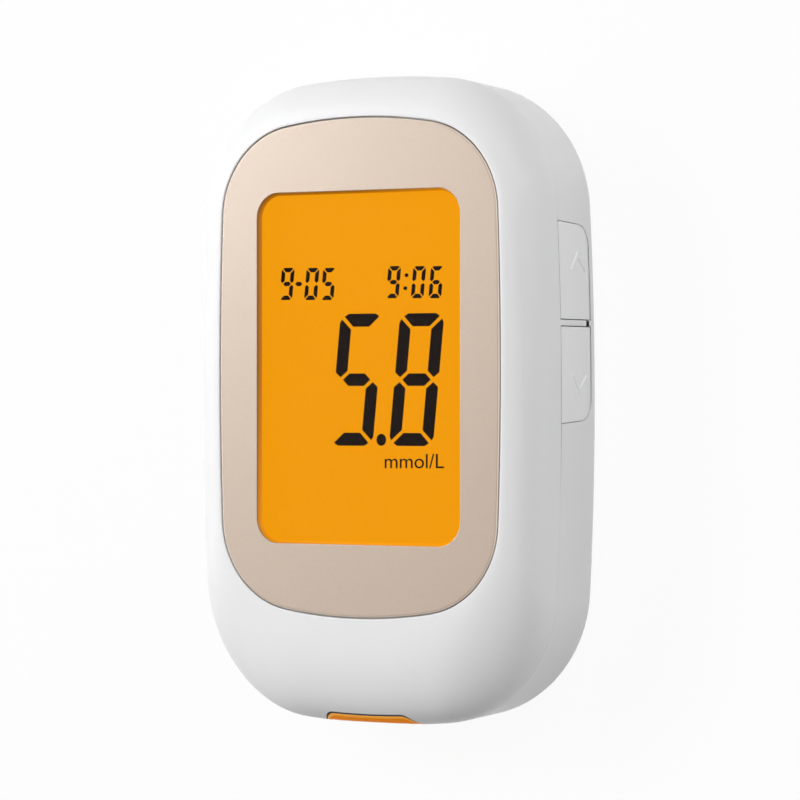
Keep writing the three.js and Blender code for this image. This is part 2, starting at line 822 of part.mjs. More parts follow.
// Display frame: a wall round the display with a ledge under its rim and four pegs into the board
function displayFrame() {
  const outerX = displayWidth / 2 + frameGap + frameWall;
  const wall = block(
    [-outerX, displayLowY - contactEdge - frameGap - frameWall, boardTopZ + glueGap],
    [outerX, displayHighY + frameGap + frameWall, displayTopZ],
  );
  const seat = block(
    [-displayWidth / 2 - frameGap, displayLowY - contactEdge - frameGap, displayBackZ - glueGap],
    [displayWidth / 2 + frameGap, displayHighY + frameGap, displayTopZ + cutOverrun],
  );
  const inside = block(
    [-displayWidth / 2 + frameLedge, displayLowY - contactEdge - frameGap, boardTopZ],
    [displayWidth / 2 - frameLedge, displayHighY - frameLedge, displayTopZ],
  );
  const pegs = pegPlaces.map(([x, y]) =>
    post(x, y, boardBackZ, boardTopZ + boardThickness, framePegRadius, postSideCount),
  );
  const frame = cut(wall, [seat, inside]);
  const outside = block(
    [-outerX, displayLowY - contactEdge - frameGap - frameWall, boardBackZ],
    [outerX, displayHighY + frameGap + frameWall, displayTopZ],
  );
  return join([frame, ...pegs.map((peg) => peg.intersect(outside).subtract(seat))]);
}

// Contact strip: soft striped rubber between the board and the display's contact edge
function contactStrip() {
  const y = displayLowY - contactEdge / 2;
  const half = displayWidth / 2 - guideSetback;
  return block(
    [-half, y - stripWidth / 2, boardTopZ + glueGap],
    [half, y + stripWidth / 2, displayTopZ - displaySheet - glueGap],
  );
}

// Main board: it follows the body's outline, with holes for the posts and pegs and a notch for the keys
function mainBoard() {
  const board = bodyPlug(boardSetback, boardBackZ, boardTopZ);
  const holes = postPlaces.map(([, x, y]) =>
    post(x, y, boardBackZ - cutOverrun, boardTopZ + cutOverrun, facePostRadius + boardHoleGap),
  );
  const pegHoles = pegPlaces.map(([x, y]) =>
    post(
      x,
      y,
      boardBackZ - cutOverrun,
      boardTopZ + cutOverrun,
      framePegRadius + glueGap,
      postSideCount,
    ),
  );
  const notchDepth = boardSetback + boardKeyNotch;
  const notch = block(
    [bodyWidth / 2 - notchDepth, keysMiddleY - keysLength / 2 - 2 * cutOverrun, boardBackZ - cutOverrun],
    [farX, keysMiddleY + keysLength / 2 + 2 * cutOverrun, boardTopZ + cutOverrun],
  );
  const portNotch = block(
    [-portMiddleHalf - fitGap, -bodyLength / 2, boardBackZ - cutOverrun],
    [portMiddleHalf + fitGap, portInnerY + fitGap, boardTopZ + cutOverrun],
  );
  return cut(board, [...holes, ...pegHoles, notch, portNotch]);
}

const underBoardZ = boardBackZ - glueGap;

// A chip under the board: a body with chamfered edges and rows of leads along some of its sides
function chip(width, length, height, x, y, pitch, count, bothWays) {
  const halfW = width / 2;
  const halfL = length / 2;
  const low = underBoardZ - height;
  const round = leadWidth;
  const body = upright(roundedRectangle(width, length, round, x, y), low, underBoardZ - leadHeight / 2, 1);
  // Each lead starts just inside the body's edge and ends a lead's length outside it
  const lead = (fromX, toX, fromY, toY) =>
    block([x + fromX, y + fromY, underBoardZ - leadHeight], [x + toX, y + toY, underBoardZ]);
  const leads = [];
  for (let i = 0; i < count; i++) {
    const low = (i - (count - 1) / 2) * pitch - leadWidth / 2;
    const high = low + leadWidth;
    leads.push(lead(-halfW - leadLength, -halfW + leadWidth, low, high));
    leads.push(lead(halfW - leadWidth, halfW + leadLength, low, high));
    if (!bothWays) continue;
    leads.push(lead(low, high, -halfL - leadLength, -halfL + leadWidth));
    leads.push(lead(low, high, halfL - leadWidth, halfL + leadLength));
  }
  return join([body, ...leads]);
}

function buzzer() {
  const low = underBoardZ - buzzerHeight;
  const buzzerY = upperEndY - buzzerFromEnd;
  const can = post(buzzerX, buzzerY, low, underBoardZ, buzzerRadius);
  const hole = post(
    buzzerX,
    buzzerY,
    low - cutOverrun,
    low + buzzerHeight / 2,
    buzzerHoleRadius,
    postSideCount,
  );
  return can.subtract(hole);
}

// Clock crystal: a small can that lies under the board
function crystal() {
  const geometry = new THREE.CylinderGeometry(
    crystalRadius,
    crystalRadius,
    crystalLength,
    postSideCount,
  );
  geometry.rotateZ(Math.PI / 2);
  geometry.translate(0, upperEndY - crystalFromEnd, underBoardZ - crystalRadius);
  return solid(geometry);
}

// Back shell: a tray with the lip, the battery bay, four screw posts, ribs and the key pocket
function backShell() {
  const outside = backForm(backShellZ);
  const lip = bodyPlug(lipSetback, backShellZ - cutOverrun, backShellZ + lipRise);
  const hollowSteps = [
    [backWall, backEdgeRadius + wallLean],
    [backWall + backWall / 2, sideWall + backEdgeRadius / 4],
    [backEdgeRadius - backWall / 3, sideWall],
    [backShellZ + lipRise + cutOverrun, sideWall],
  ];
  const hollow = loft(hollowSteps.map(([z, inset]) => ({ outline: arcOutline(bodySpec, inset), z })));
  const tray = outside.add(lip).subtract(hollow);
  const posts = postPlaces.map(([, x, y]) => post(x, y, backWall / 2, postMeetHeight, backPostRadius));
  const reach = bodyPlug(sideWall / 2, 0, backShellZ);
  const filled = join([tray, bayWalls(), ...posts.map((p) => p.intersect(reach)), ...backRibs()]);
  const screwCuts = postPlaces.flatMap(([, x, y]) => [
    post(x, y, -cutOverrun, screwSeatHeight, counterboreRadius),
    post(x, y, 0, postMeetHeight + cutOverrun, screwHoleRadius, postSideCount),
  ]);
  const port = lengthways(portShape(portGap), lowerEndY - cutOverrun, portInnerY + cutOverrun);
  const labelY = upperEndY - labelFromEnd - labelLength / 2;
  const labelShape = roundedRectangle(labelWidth, labelLength, labelCornerRadius, 0, labelY);
  return cut(filled, [
    upright(labelShape, -cutOverrun, labelDepth),
    bayHollow(),
    ...bayCuts(),
    ...screwCuts,
    keyOpening(keyStretches.up),
    keyOpening(keyStretches.down),
    barOpening(),
    port,
  ]);
}

// The pocket between the keys, for the tongue, which ends a slot short of its edge
function barOpening() {
  return block(
    [keyRootX, barY - keyHalfBar - keyGap, barSlotHeight],
    [farX, barY + keyHalfBar + keyGap, backShellZ + lipRise + cutOverrun],
  );
}

function bayWalls() {
  return block(
    [-bayWidth / 2 - bayWall, bayLowY - bayWall, backWall / 2],
    [bayWidth / 2 + bayWall, bayHighY + bayWall, bayTopZ],
  );
}

// The bay's inside, open at the back, with a rail along each long side that the door closes against
function bayHollow() {
  const inside = block(
    [-bayWidth / 2, bayLowY, -cutOverrun],
    [bayWidth / 2, bayHighY, bayCeilingZ],
  );
  const rails = [-1, 1].map((side) => {
    const outer = (side * bayWidth) / 2;
    const inner = outer - side * doorRailWidth;
    return block(
      [Math.min(outer, inner), bayLowY + doorRailEnd, doorTopZ + glueGap],
      [Math.max(outer, inner), bayHighY - doorRailEnd, doorTopZ + glueGap + doorRailHeight],
    );
  });
  return cut(inside, rails);
}

// Slots in the bay's end walls for the tabs, the latch and the plates' tails, and the thumb scoop
function bayCuts() {
  const slotLow = backWall;
  const slotHigh = backWall + tabThickness + 2 * tabLift + fitGap;
  const tabs = [-1, 1].map((side) =>
    block(
      [side * tabX - tabWidth / 2 - fitGap, bayHighY - cutOverrun, slotLow],
      [side * tabX + tabWidth / 2 + fitGap, bayHighY + bayWall + cutOverrun, slotHigh],
    ),
  );
  const latch = block(
    [-latchWidth / 2 - fitGap, bayLowY - bayWall - cutOverrun, slotLow],
    [latchWidth / 2 + fitGap, bayLowY + cutOverrun, slotHigh],
  );
  const tails = [-1, 1].map((side) =>
    block(
      [
        (side * cellSpacing) / 2 - plateTailWidth / 2 - fitGap,
        bayHighY - plateThickness - glueGap - fitGap,
        bayCeilingZ - cutOverrun,
      ],
      [
        (side * cellSpacing) / 2 + plateTailWidth / 2 + fitGap,
        bayHighY + fitGap / 2,
        bayTopZ + cutOverrun,
      ],
    ),
  );
  const ball = new THREE.SphereGeometry(thumbScoopRadius, 2 * roundCount, roundCount);
  ball.translate(0, bayLowY - fitGap, thumbScoopDepth - thumbScoopRadius);
  return [...tabs, latch, ...tails, solid(ball)];
}

// Ribs from the bay to the side walls, low enough to pass under the switches
function backRibs() {
  const ribs = [];
  for (const side of [-1, 1])
    for (const share of backRibShares) {
      const y = bayLowY + share * bayLength;
      const near = (side * bayWidth) / 2;
      const far = side * (bodyWidth / 2 - backRibEndInset);
      const low = [Math.min(near, far), y - ribThickness / 2, backRibRoot];
      const high = [Math.max(near, far), y + ribThickness / 2, backWall + backRibRise];
      ribs.push(block(low, high));
    }
  return ribs;
}

// Battery door: a plate with a sprung latch tongue, two tabs, grip ribs and pads that steady the cells
function batteryDoor() {
  const width = bayWidth - 2 * fitGap;
  const length = doorHighY - doorLowY;
  const plate = upright(
    roundedRectangle(width, length, doorCornerRadius, 0, (doorHighY + doorLowY) / 2),
    doorInset,
    doorTopZ,
  );
  // The tongue stays joined to the plate at its far end
  const slots = [-1, 1].map((side) => {
    const inner = (side * latchWidth) / 2 - (side * latchSlot) / 2;
    const outer = (side * latchWidth) / 2 + (side * latchSlot) / 2;
    return block(
      [Math.min(inner, outer), doorLowY - cutOverrun, -cutOverrun],
      [Math.max(inner, outer), doorLowY + latchLength, doorTopZ + cutOverrun],
    );
  });
  const grips = [];
  for (let i = 0; i < gripRibCount; i++) {
    const y = doorLowY + gripRibPitch * (i + 1);
    grips.push(
      block(
        [-latchWidth / 2 + latchSlot, y - gripRibWidth / 2, doorInset - cutOverrun],
        [latchWidth / 2 - latchSlot, y + gripRibWidth / 2, doorInset + gripRibDepth],
      ),
    );
  }
  const tabLow = backWall + glueGap;
  const tabs = [-1, 1].map((side) => doorTab(side * tabX, tabLow));
  const barbHalf = latchWidth / 2 - latchSlot;
  const barb = block(
    [-barbHalf, doorLowY, doorInset + doorThickness / 2],
    [barbHalf, doorLowY + tabThickness, tabLow + tabThickness],
  ).add(
    block(
      [-barbHalf, doorLowY - latchBarb, tabLow],
      [barbHalf, doorLowY + tabThickness, tabLow + tabThickness],
    ),
  );
  // A pad stands just inside the bay's rail, where a cell curves up and leaves room
  const padX = bayWidth / 2 - doorRailWidth - doorPadWidth;
  const pads = [-1, 1].map((side) =>
    block(
      [side * padX - doorPadWidth / 2, doorLowY + bayLength / 4, doorTopZ / 2],
      [side * padX + doorPadWidth / 2, doorHighY - bayLength / 4, doorTopZ + doorPadHeight],
    ),
  );
  return join([cut(plate, [...slots, ...grips]), ...tabs, barb, ...pads]);
}

// A tab: an upright root on the door and a toe that reaches over the back wall's edge
function doorTab(x, low) {
  const root = block(
    [x - tabWidth / 2, doorHighY - tabThickness, doorInset + doorThickness / 2],
    [x + tabWidth / 2, doorHighY, low + tabThickness],
  );
  const toe = block(
    [x - tabWidth / 2, doorHighY - tabThickness, low],
    [x + tabWidth / 2, doorHighY + tabReach, low + tabThickness],
  );
  return root.add(toe);
}

// A cell, turned about its own axis, with its nub towards +Y before it is placed
function cellGeometry() {
  const tip = cellLength / 2;
  const shoulder = tip - nubHeight;
  const points = [
    [0, -tip],
    [cellRadius - cellEdgeRound, -tip],
    [cellRadius, -tip + cellEdgeRound],
    [cellRadius, shoulder - cellEdgeRound],
    [cellRadius - cellEdgeRound, shoulder],
    [nubRadius, shoulder],
    [nubRadius, tip - nubHeight / 4],
    [nubRadius - nubHeight / 4, tip],
    [0, tip],
  ];
  return new THREE.LatheGeometry(
    points.map(([r, y]) => new THREE.Vector2(r, y)),
    cellSideCount,
  );
}

// The gap between a bay end and a cell's flat end, which a spring fills
const springRoom = bayLength - cellLength - 3 * glueGap - 2 * plateThickness;

// A conical spring of round wire along +Y, its wide end first
class SpringPath extends THREE.Curve {
  getPoint(t) {
    const angle = 2 * Math.PI * springTurnCount * t;
    const radius = cellRadius * THREE.MathUtils.lerp(springWideShare, springNarrowShare, t);
    const rise = springWire / 2 + t * (springRoom - 2 * glueGap - springWire);
    return new THREE.Vector3(radius * Math.cos(angle), rise, radius * Math.sin(angle));
  }
}

function springGeometry() {
  const section = new THREE.Shape();
  section.absarc(0, 0, springWire / 2, 0, 2 * Math.PI, false);
  return new THREE.ExtrudeGeometry(section, {
    extrudePath: new SpringPath(),
    steps: turnStepCount * springTurnCount,
    curveSegments: springCurveCount,
    bevelEnabled: false,
  });
}

// The least gap between the spring's turns: points of its path more than half a turn apart, less the wire
function springGap() {
  const points = new SpringPath().getPoints(2 * turnStepCount * springTurnCount);
  const apart = points.flatMap((p, i) => points.slice(i + turnStepCount).map((q) => p.distanceTo(q)));
  return Math.min(...apart) - springWire;
}

// A contact plate at one end of the bay, for one cell, with a tail up to the board
function upperPlate(side) {
  const x = (side * cellSpacing) / 2;
  const highY = bayHighY - glueGap;
  const plate = block(
    [x - plateWidth / 2, highY - plateThickness, plateLow],
    [x + plateWidth / 2, highY, plateHigh],
  );
  const tail = block(
    [x - plateTailWidth / 2, highY - plateThickness, plateHigh - cutOverrun],
    [x + plateTailWidth / 2, highY, boardBackZ - glueGap],
  );
  return plate.add(tail);
}

// The bridge that joins the two cells at the lower end of the bay
function bridgePlate() {
  const lowY = bayLowY + glueGap;
  const half = cellSpacing / 2 + plateWidth / 2;
  const plate = block([-half, lowY, plateLow], [half, lowY + plateThickness, plateHigh]);
  const relief = block(
    [-plateTailWidth / 2, lowY - cutOverrun, (plateLow + plateHigh) / 2],
    [plateTailWidth / 2, lowY + plateThickness + cutOverrun, plateHigh + cutOverrun],
  );
  return plate.subtract(relief);
}

// A screw along +Z, its head lowest and its seat at height zero
function screwGeometry() {
  const points = [
    [0, -screwHeadHeight],
    [screwHeadRadius * screwCrownShare, -screwHeadHeight],
    [screwHeadRadius, -screwHeadHeight / 2],
    [screwHeadRadius, 0],
    [screwShankRadius, 0],
    [screwShankRadius, screwLength - screwTipLength],
    [0, screwLength],
  ];
  const turned = new THREE.LatheGeometry(
    points.map(([r, z]) => new THREE.Vector2(r, z)),
    screwSideCount,
  );
  turned.rotateX(Math.PI / 2);
  const across = block(
    [-crossLength / 2, -crossWidth / 2, -screwHeadHeight - cutOverrun],
    [crossLength / 2, crossWidth / 2, -screwHeadHeight + crossDepth],
  );
  const along = block(
    [-crossWidth / 2, -crossLength / 2, -screwHeadHeight - cutOverrun],
    [crossWidth / 2, crossLength / 2, -screwHeadHeight + crossDepth],
  );
  return geometryOf(cut(solid(turned), [across, along]));
}

// A key: a cap flush with the side, a flange behind the wall and a post to its switch
function key(stretch, middleY, chevronY, pointsUp) {
  const shape = keyShape(stretch[0], stretch[1], 0, keyTopZ);
  const outside = backForm(keyTopZ, keyStandBack);
  const inside = bodyPlug(sideWall + fitGap + keyFlange, 0, bodyHeight);
  const cap = sideways(shape, keyRootX, farX).intersect(outside).subtract(inside);
  const flangeShape = keyShape(stretch[0], stretch[1], keyFlangeMargin, keyTopZ + keyFlangeMargin);
  const behindWall = bodyPlug(sideWall + fitGap, 0, bodyHeight);
  const shy = keyHalfBar + glueGap;
  const side = pointsUp ? [barY + shy, bodyLength] : [-bodyLength, barY - shy];
  const flange = sideways(flangeShape, keyRootX - cutOverrun, farX)
    .intersect(behindWall)
    .subtract(inside)
    .intersect(block([0, side[0], 0], [farX, side[1], bodyHeight]));
  const tipX = switchFaceX + plungerReach + fitGap;
  const rootX = keyRootX + cutOverrun;
  const geometry = new THREE.CylinderGeometry(keyPostRadius, keyPostRadius, rootX - tipX, postSideCount);
  geometry.rotateZ(Math.PI / 2);
  geometry.translate((rootX + tipX) / 2, middleY, switchMiddleZ);
  const keyPost = solid(geometry);
  const back = bodyPlug(sideWall + fitGap + keyFlange / 2, 0, bodyHeight);
  return join([cap, flange, keyPost.intersect(back), chevron(chevronY, pointsUp)]);
}

const switchMiddleZ = underBoardZ - switchHeight / 2;

// An arrow head that stands out of a key's cap as far as the shell round it, its tip away from the other key
function chevron(tip, pointsUp) {
  const way = pointsUp ? 1 : -1;
  const low = chevronHeight - chevronHalf;
  const high = chevronHeight + chevronHalf;
  const foot = tip - way * chevronRise;
  const corners = [
    [foot, low],
    [tip, chevronHeight],
    [foot, high],
    [foot - way * chevronFoot, high],
    [tip - way * chevronStroke, chevronHeight],
    [foot - way * chevronFoot, low],
  ];
  const shape = new THREE.Shape(corners.map(([y, z]) => new THREE.Vector2(y, z)));
  return sideways(shape, bodyWidth / 2 - sideWall / 2, farX).intersect(backForm(keyTopZ));
}

function switchBody(y) {
  const body = block(
    [switchFaceX - switchDepth, y - switchWidth / 2, underBoardZ - switchHeight],
    [switchFaceX, y + switchWidth / 2, underBoardZ],
  );
  const well = new THREE.CylinderGeometry(
    plungerRadius + fitGap,
    plungerRadius + fitGap,
    plungerWellDepth + cutOverrun,
    roundCount,
  );
  well.rotateZ(Math.PI / 2);
  well.translate(switchFaceX + (cutOverrun - plungerWellDepth) / 2, y, switchMiddleZ);
  return body.subtract(solid(well));
}

function plungerGeometry() {
  const geometry = new THREE.CylinderGeometry(plungerRadius, plungerRadius, plungerLength, roundCount);
  geometry.rotateZ(Math.PI / 2);
  return geometry;
}

// Strip port insert: flush with the lower end, with a funnel mouth, a slot and an ear on each side
function stripPort() {
  const outside = backForm(partingZ).add(faceForm(partingZ));
  const bodyBlock = lengthways(portShape(0), lowerEndY - cutOverrun, portInnerY);
  // The face stands back inside a rim that is flush with the shells
  const core = backForm(partingZ, portFaceDepth).add(faceForm(partingZ, portFaceDepth));
  const stepBack = lengthways(portShape(-portRim), lowerEndY - cutOverrun, portInnerY).subtract(core);
  const face = bodyBlock.intersect(outside).subtract(stepBack);
  const earY = portInnerY - portEarThickness;
  const ears = block(
    [-portMiddleHalf - portEar, earY, slotHeight - portEarDrop],
    [portMiddleHalf + portEar, portInnerY, slotHeight + portEarRise],
  );
  const slot = block(
    [-slotWidth / 2, lowerEndY - cutOverrun, slotHeight - slotThickness / 2],
    [slotWidth / 2, portInnerY + cutOverrun, slotHeight + slotThickness / 2],
  );
  return cut(face.add(ears), [slot, mouthFunnel()]);
}

// The mouth narrows from the end face to the slot in straight tapers
function mouthFunnel() {
  const outerY = lowerEndY - cutOverrun;
  const innerY = lowerEndY + mouthDepth;
  const grow = cutOverrun / mouthDepth;
  const ring = (width, thickness, y) => ({ width, thickness, y });
  const rings = [
    ring(
      mouthWidth + grow * (mouthWidth - slotWidth),
      mouthThickness + grow * (mouthThickness - slotThickness),
      outerY,
    ),
    ring(slotWidth, slotThickness, innerY),
  ];
  // Drawn with Y as height, then turned so that the height runs along the body
  const built = loft(
    rings.map((r) => ({
      outline: [
        new THREE.Vector2(r.width / 2, -r.thickness / 2),
        new THREE.Vector2(r.width / 2, r.thickness / 2),
        new THREE.Vector2(-r.width / 2, r.thickness / 2),
        new THREE.Vector2(-r.width / 2, -r.thickness / 2),
      ],
      z: r.y,
    })),
  );
  const turned = geometryOf(built);
  turned.applyMatrix4(new THREE.Matrix4().set(-1, 0, 0, 0, 0, 0, 1, 0, 0, 1, 0, slotHeight, 0, 0, 0, 1));
  return solid(turned);
}

const socketFrontY = portInnerY + fitGap;
const socketBackY = socketFrontY + socketLength;
const socketLowZ = slotHeight - slotThickness / 2 - socketFloor;

// Strip socket: a housing with the strip's slot and open channels for the contacts
function stripSocket() {
  const housing = block(
    [-socketWidth / 2, socketFrontY, socketLowZ],
    [socketWidth / 2, socketBackY, underBoardZ],
  );
  const slot = block(
    [-slotWidth / 2, socketFrontY - cutOverrun, slotHeight - slotThickness / 2],
    [slotWidth / 2, socketFrontY + socketSlotDepth, slotHeight + slotThickness / 2],
  );
  const channels = contactPlaces.map((x) =>
    block(
      [x - contactWidth / 2 - fitGap, socketFrontY + socketFloor, socketLowZ - cutOverrun],
      [x + contactWidth / 2 + fitGap, socketBackY + cutOverrun, slotHeight],
    ),
  );
  return cut(housing, [slot, ...channels]);
}

const contactPlaces = Array.from(
  { length: contactCount },
  (_, i) => (i - (contactCount - 1) / 2) * contactPitch,
);

// A leaf contact: a strip of sheet that rises into the slot and ends in a tail up to the board
function stripContact(x) {
  const low = socketLowZ + glueGap;
  const startY = socketFrontY + 2 * socketFloor;
  const tailY = socketBackY + fitGap;
  const run = tailY - startY;
  const humpShares = [
    [0, 0],
    [0.15, 1],
    [0.35, 1],
    [0.6, 0],
    [1, 0],
  ];
  const lower = humpShares.map(([along, up]) => [startY + run * along, low + contactHump * up]);
  const tail = [
    [tailY + contactThickness, low],
    [tailY + contactThickness, boardBackZ - glueGap],
    [tailY, boardBackZ - glueGap],
    [tailY, low + contactThickness],
  ];
  const upper = humpShares
    .slice(0, -1)
    .reverse()
    .map(([along, up]) => [startY + run * along, low + contactHump * up + contactThickness]);
  const outline = [...lower, ...tail, ...upper].map(([y, z]) => new THREE.Vector2(y, z));
  return sideways(new THREE.Shape(outline), x - contactWidth / 2, x + contactWidth / 2);
}

const meter = new THREE.Group();

function add(name, shape, material, place = [0, 0, 0]) {
  const geometry = shape.isBufferGeometry ? shape : geometryOf(shape);
  const mesh = new THREE.Mesh(geometry, material);
  mesh.name = name;
  mesh.position.set(...place);
  meter.add(mesh);
  return mesh;
}

add("front_shell", faceShell(), colour.white);
add("face_panel", facePanel(), colour.champagne);
add("window_trim", windowTrim(), colour.trim);
add("window_lens", windowLens(), colour.clear);
add("display_glass", displayGlass(), colour.amber);
add("light_guide", lightGuide(), colour.clear);
add("backlight_lamp", lampBlock(0), colour.carrier);
add("display_frame", displayFrame(), colour.carrier);
add("contact_strip", contactStrip(), colour.rubber);
add("main_board", mainBoard(), colour.board);
add(
  "processor_chip",
  chip(
    processorSize,
    processorSize,
    processorHeight,
    processorX,
    upperEndY - processorFromEnd,
    leadPitch,
    leadCount,
    true,
  ),
  colour.chip,
);
add(
  "amplifier_chip",
  chip(
    amplifierWidth,
    amplifierLength,
    amplifierHeight,
    socketWidth / 2 + amplifierFromSocket,
    lowerEndY + amplifierFromEnd,
    amplifierLeadPitch,
    amplifierLeadCount,
    false,
  ),
  colour.chip,
);
add("buzzer", buzzer(), colour.chip);
add("clock_crystal", crystal(), colour.steel);
add("strip_port", stripPort(), colour.orange);
add("strip_socket", stripSocket(), colour.carrier);
contactPlaces.forEach((x, i) => add("strip_contact_" + (i + 1), stripContact(x), colour.gold));
add("rear_shell", backShell(), colour.white);
add("battery_door", batteryDoor(), colour.white);

// The left cell's nub points to the top end, the right one's to the lower end
const nubEndGap = 2 * glueGap + plateThickness;
const leftCell = add("battery_cell_left", cellGeometry(), colour.cell, [
  -cellSpacing / 2,
  bayHighY - nubEndGap - cellLength / 2,
  cellAxisZ,
]);
const rightCell = add("battery_cell_right", cellGeometry(), colour.cell, [
  cellSpacing / 2,
  bayLowY + nubEndGap + cellLength / 2,
  cellAxisZ,
]);
rightCell.rotation.z = Math.PI;
leftCell.rotation.z = 0;
add("spring_left", springGeometry(), colour.steel, [
  -cellSpacing / 2,
  bayLowY + nubEndGap,
  cellAxisZ,
]);
const rightSpring = add("spring_right", springGeometry(), colour.steel, [
  cellSpacing / 2,
  bayHighY - nubEndGap,
  cellAxisZ,
]);
rightSpring.rotation.z = Math.PI;
console.log(`least gap between the turns of a spring: ${springGap().toFixed(2)} mm`);
add("contact_plate_left", upperPlate(-1), colour.steel);
add("contact_plate_right", upperPlate(1), colour.steel);
add("contact_bridge", bridgePlate(), colour.steel);

add("key_up", key(keyStretches.up, keyMiddles.up, barY + chevronFromBar, true), colour.keyWhite);
add("key_down", key(keyStretches.down, keyMiddles.down, barY - chevronFromBar, false), colour.keyWhite);
for (const which of ["up", "down"]) {
  add("key_switch_" + which, switchBody(keyMiddles[which]), colour.chip);
  add("switch_plunger_" + which, plungerGeometry(), colour.carrier, [
    switchFaceX + plungerReach - plungerLength / 2,
    keyMiddles[which],
    switchMiddleZ,
  ]);
}
for (const [where, x, y] of postPlaces)
  add("housing_screw_" + where, screwGeometry(), colour.steel, [x, y, screwSeatHeight - glueGap]);

export default meter;
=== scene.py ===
# %% [markdown]
# # A blood glucose meter, dressed over its CAD frame
#
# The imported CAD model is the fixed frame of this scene. It holds every solid piece of the meter, in
# metres, lying on its back with the display up: +X is the key side, +Y the top end and +Z comes out
# of the display. Each cell below adds one finish or one finely curved piece over that frame.

# %% Load the frame
import math

import bmesh
import bpy
import numpy as np
from mathutils import Matrix, Vector


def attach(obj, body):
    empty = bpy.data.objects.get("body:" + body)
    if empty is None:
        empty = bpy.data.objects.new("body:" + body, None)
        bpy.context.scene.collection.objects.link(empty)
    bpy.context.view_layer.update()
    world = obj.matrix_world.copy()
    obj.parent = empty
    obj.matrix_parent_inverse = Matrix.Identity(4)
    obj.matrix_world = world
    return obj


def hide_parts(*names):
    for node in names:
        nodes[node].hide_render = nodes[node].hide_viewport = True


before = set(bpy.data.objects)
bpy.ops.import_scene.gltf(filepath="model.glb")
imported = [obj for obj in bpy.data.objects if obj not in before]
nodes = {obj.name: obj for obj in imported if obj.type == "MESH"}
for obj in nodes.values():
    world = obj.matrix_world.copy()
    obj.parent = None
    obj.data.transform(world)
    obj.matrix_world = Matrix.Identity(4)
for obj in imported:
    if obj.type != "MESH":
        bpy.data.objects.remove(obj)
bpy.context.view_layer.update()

# %% [markdown]
# ## Shader maths as plain expressions
#
# Every finish is a small network of nodes. Written node by node it is long and hard to read, so a
# `Wire` stands for one value in the network and overloads the arithmetic that is used. `1 - mask`
# or `stain * 0.2 + 0.3` then adds the Math nodes by itself. Colours don't go through Math, which
# would turn them grey, but through `Finish.blend`.

# %% Wire and Finish
class Wire:
    """One value inside a finish. Sums, differences, products and quotients add Math nodes."""

    def __init__(self, finish, socket):
        self.finish, self.socket = finish, socket

    def math(self, operation, *others, clamp=False):
        settings = {"operation": operation, "use_clamp": clamp}
        return self.finish.node("ShaderNodeMath", settings, dict(enumerate((self, *others))))

    def __add__(self, other): return self.math("ADD", other)
    __radd__ = __add__
    def __mul__(self, other): return self.math("MULTIPLY", other)
    __rmul__ = __mul__
    def __sub__(self, other): return self.math("SUBTRACT", other)
    def __rsub__(self, other): return self.finish.node(
        "ShaderNodeMath", {"operation": "SUBTRACT"}, {0: other, 1: self})
    def __truediv__(self, other): return self.math("DIVIDE", other)
    def __gt__(self, other): return self.math("GREATER_THAN", other)
    def __lt__(self, other): return self.math("LESS_THAN", other)


class Finish:
    """A material: one Principled shader, and the nodes that feed it."""

    def __init__(self, name, **sockets):
        self.material = bpy.data.materials.new(name)
        self.material.use_nodes = True
        self.tree = self.material.node_tree
        self.shader = self.tree.nodes["Principled BSDF"]
        self.set(sockets)

    def set(self, sockets, target=None):
        """Puts numbers, colours or wires on sockets, by the socket's name or number."""
        target = target or self.shader
        for key, value in sockets.items():
            name = key.replace("_", " ") if isinstance(key, str) else key
            socket = target.inputs[name]
            if isinstance(value, Wire):
                self.tree.links.new(value.socket, socket)
            else:
                if socket.type == "RGBA" and len(value) == 3:
                    value = (*value, 1.0)
                socket.default_value = value
        return self

    def node(self, kind, settings=None, sockets=None, out=0):
        """Any node: its type, its settings, which go first, and the values or links of its sockets."""
        made = self.tree.nodes.new(kind)
        for name, value in (settings or {}).items():
            setattr(made, name, value)
        self.set(sockets or {}, made)
        return Wire(self, made.outputs[out])

    def place(self):
        """The piece's own coordinates, in metres."""
        return self.node("ShaderNodeTexCoord", out="Object")

    def axes(self):
        """The three coordinates one by one."""
        apart = self.tree.nodes.new("ShaderNodeSeparateXYZ")
        self.tree.links.new(self.place().socket, apart.inputs[0])
        return [Wire(self, apart.outputs[i]) for i in range(3)]

    def noise(self, grain, detail=3.0, stretch=(1, 1, 1)):
        """Fine cloudy noise from 0 to 1, whose grains are about that long in metres."""
        where = self.node("ShaderNodeVectorMath", {"operation": "MULTIPLY"},
                          {0: self.place(), 1: stretch})
        return self.node("ShaderNodeTexNoise", None, {
            "Vector": where, "Scale": 1.0 / grain, "Detail": detail, "Roughness": 0.5})

    def blend(self, share, first, second):
        """Mixes two colours by a share from 0 to 1."""
        return self.node("ShaderNodeMix", {"data_type": "RGBA"}, {0: share, 6: first, 7: second}, out=2)

    def cloudy(self, share, first, second, roughness=None, spread=0.0):
        """A base colour between two by a share, and a roughness that grows with it by the spread."""
        self.set({"Base Color": self.blend(share, first, second)})
        return self if roughness is None else self.set({"Roughness": roughness + spread * share})

    def bump(self, height, depth, strength=1.0):
        """A fine relief that is that deep in metres, on the shader's normal."""
        return self.set({"Normal": self.node("ShaderNodeBump", None, {
            "Height": height, "Distance": depth, "Strength": strength})})


def wear(made, finish):
    """Puts one finish on a piece, and no other."""
    made.data.materials.clear()
    made.data.materials.append(finish.material)


def srgb(red, green, blue):
    """A colour from 0 to 255 as light: its dark part is divided by 12.92, the rest is a power of 2.4."""
    shade = np.array([red, green, blue]) / 255
    light = np.where(shade > 0.04045, ((shade + 0.055) / 1.055) ** 2.4, shade / 12.92)
    return tuple(float(v) for v in light)

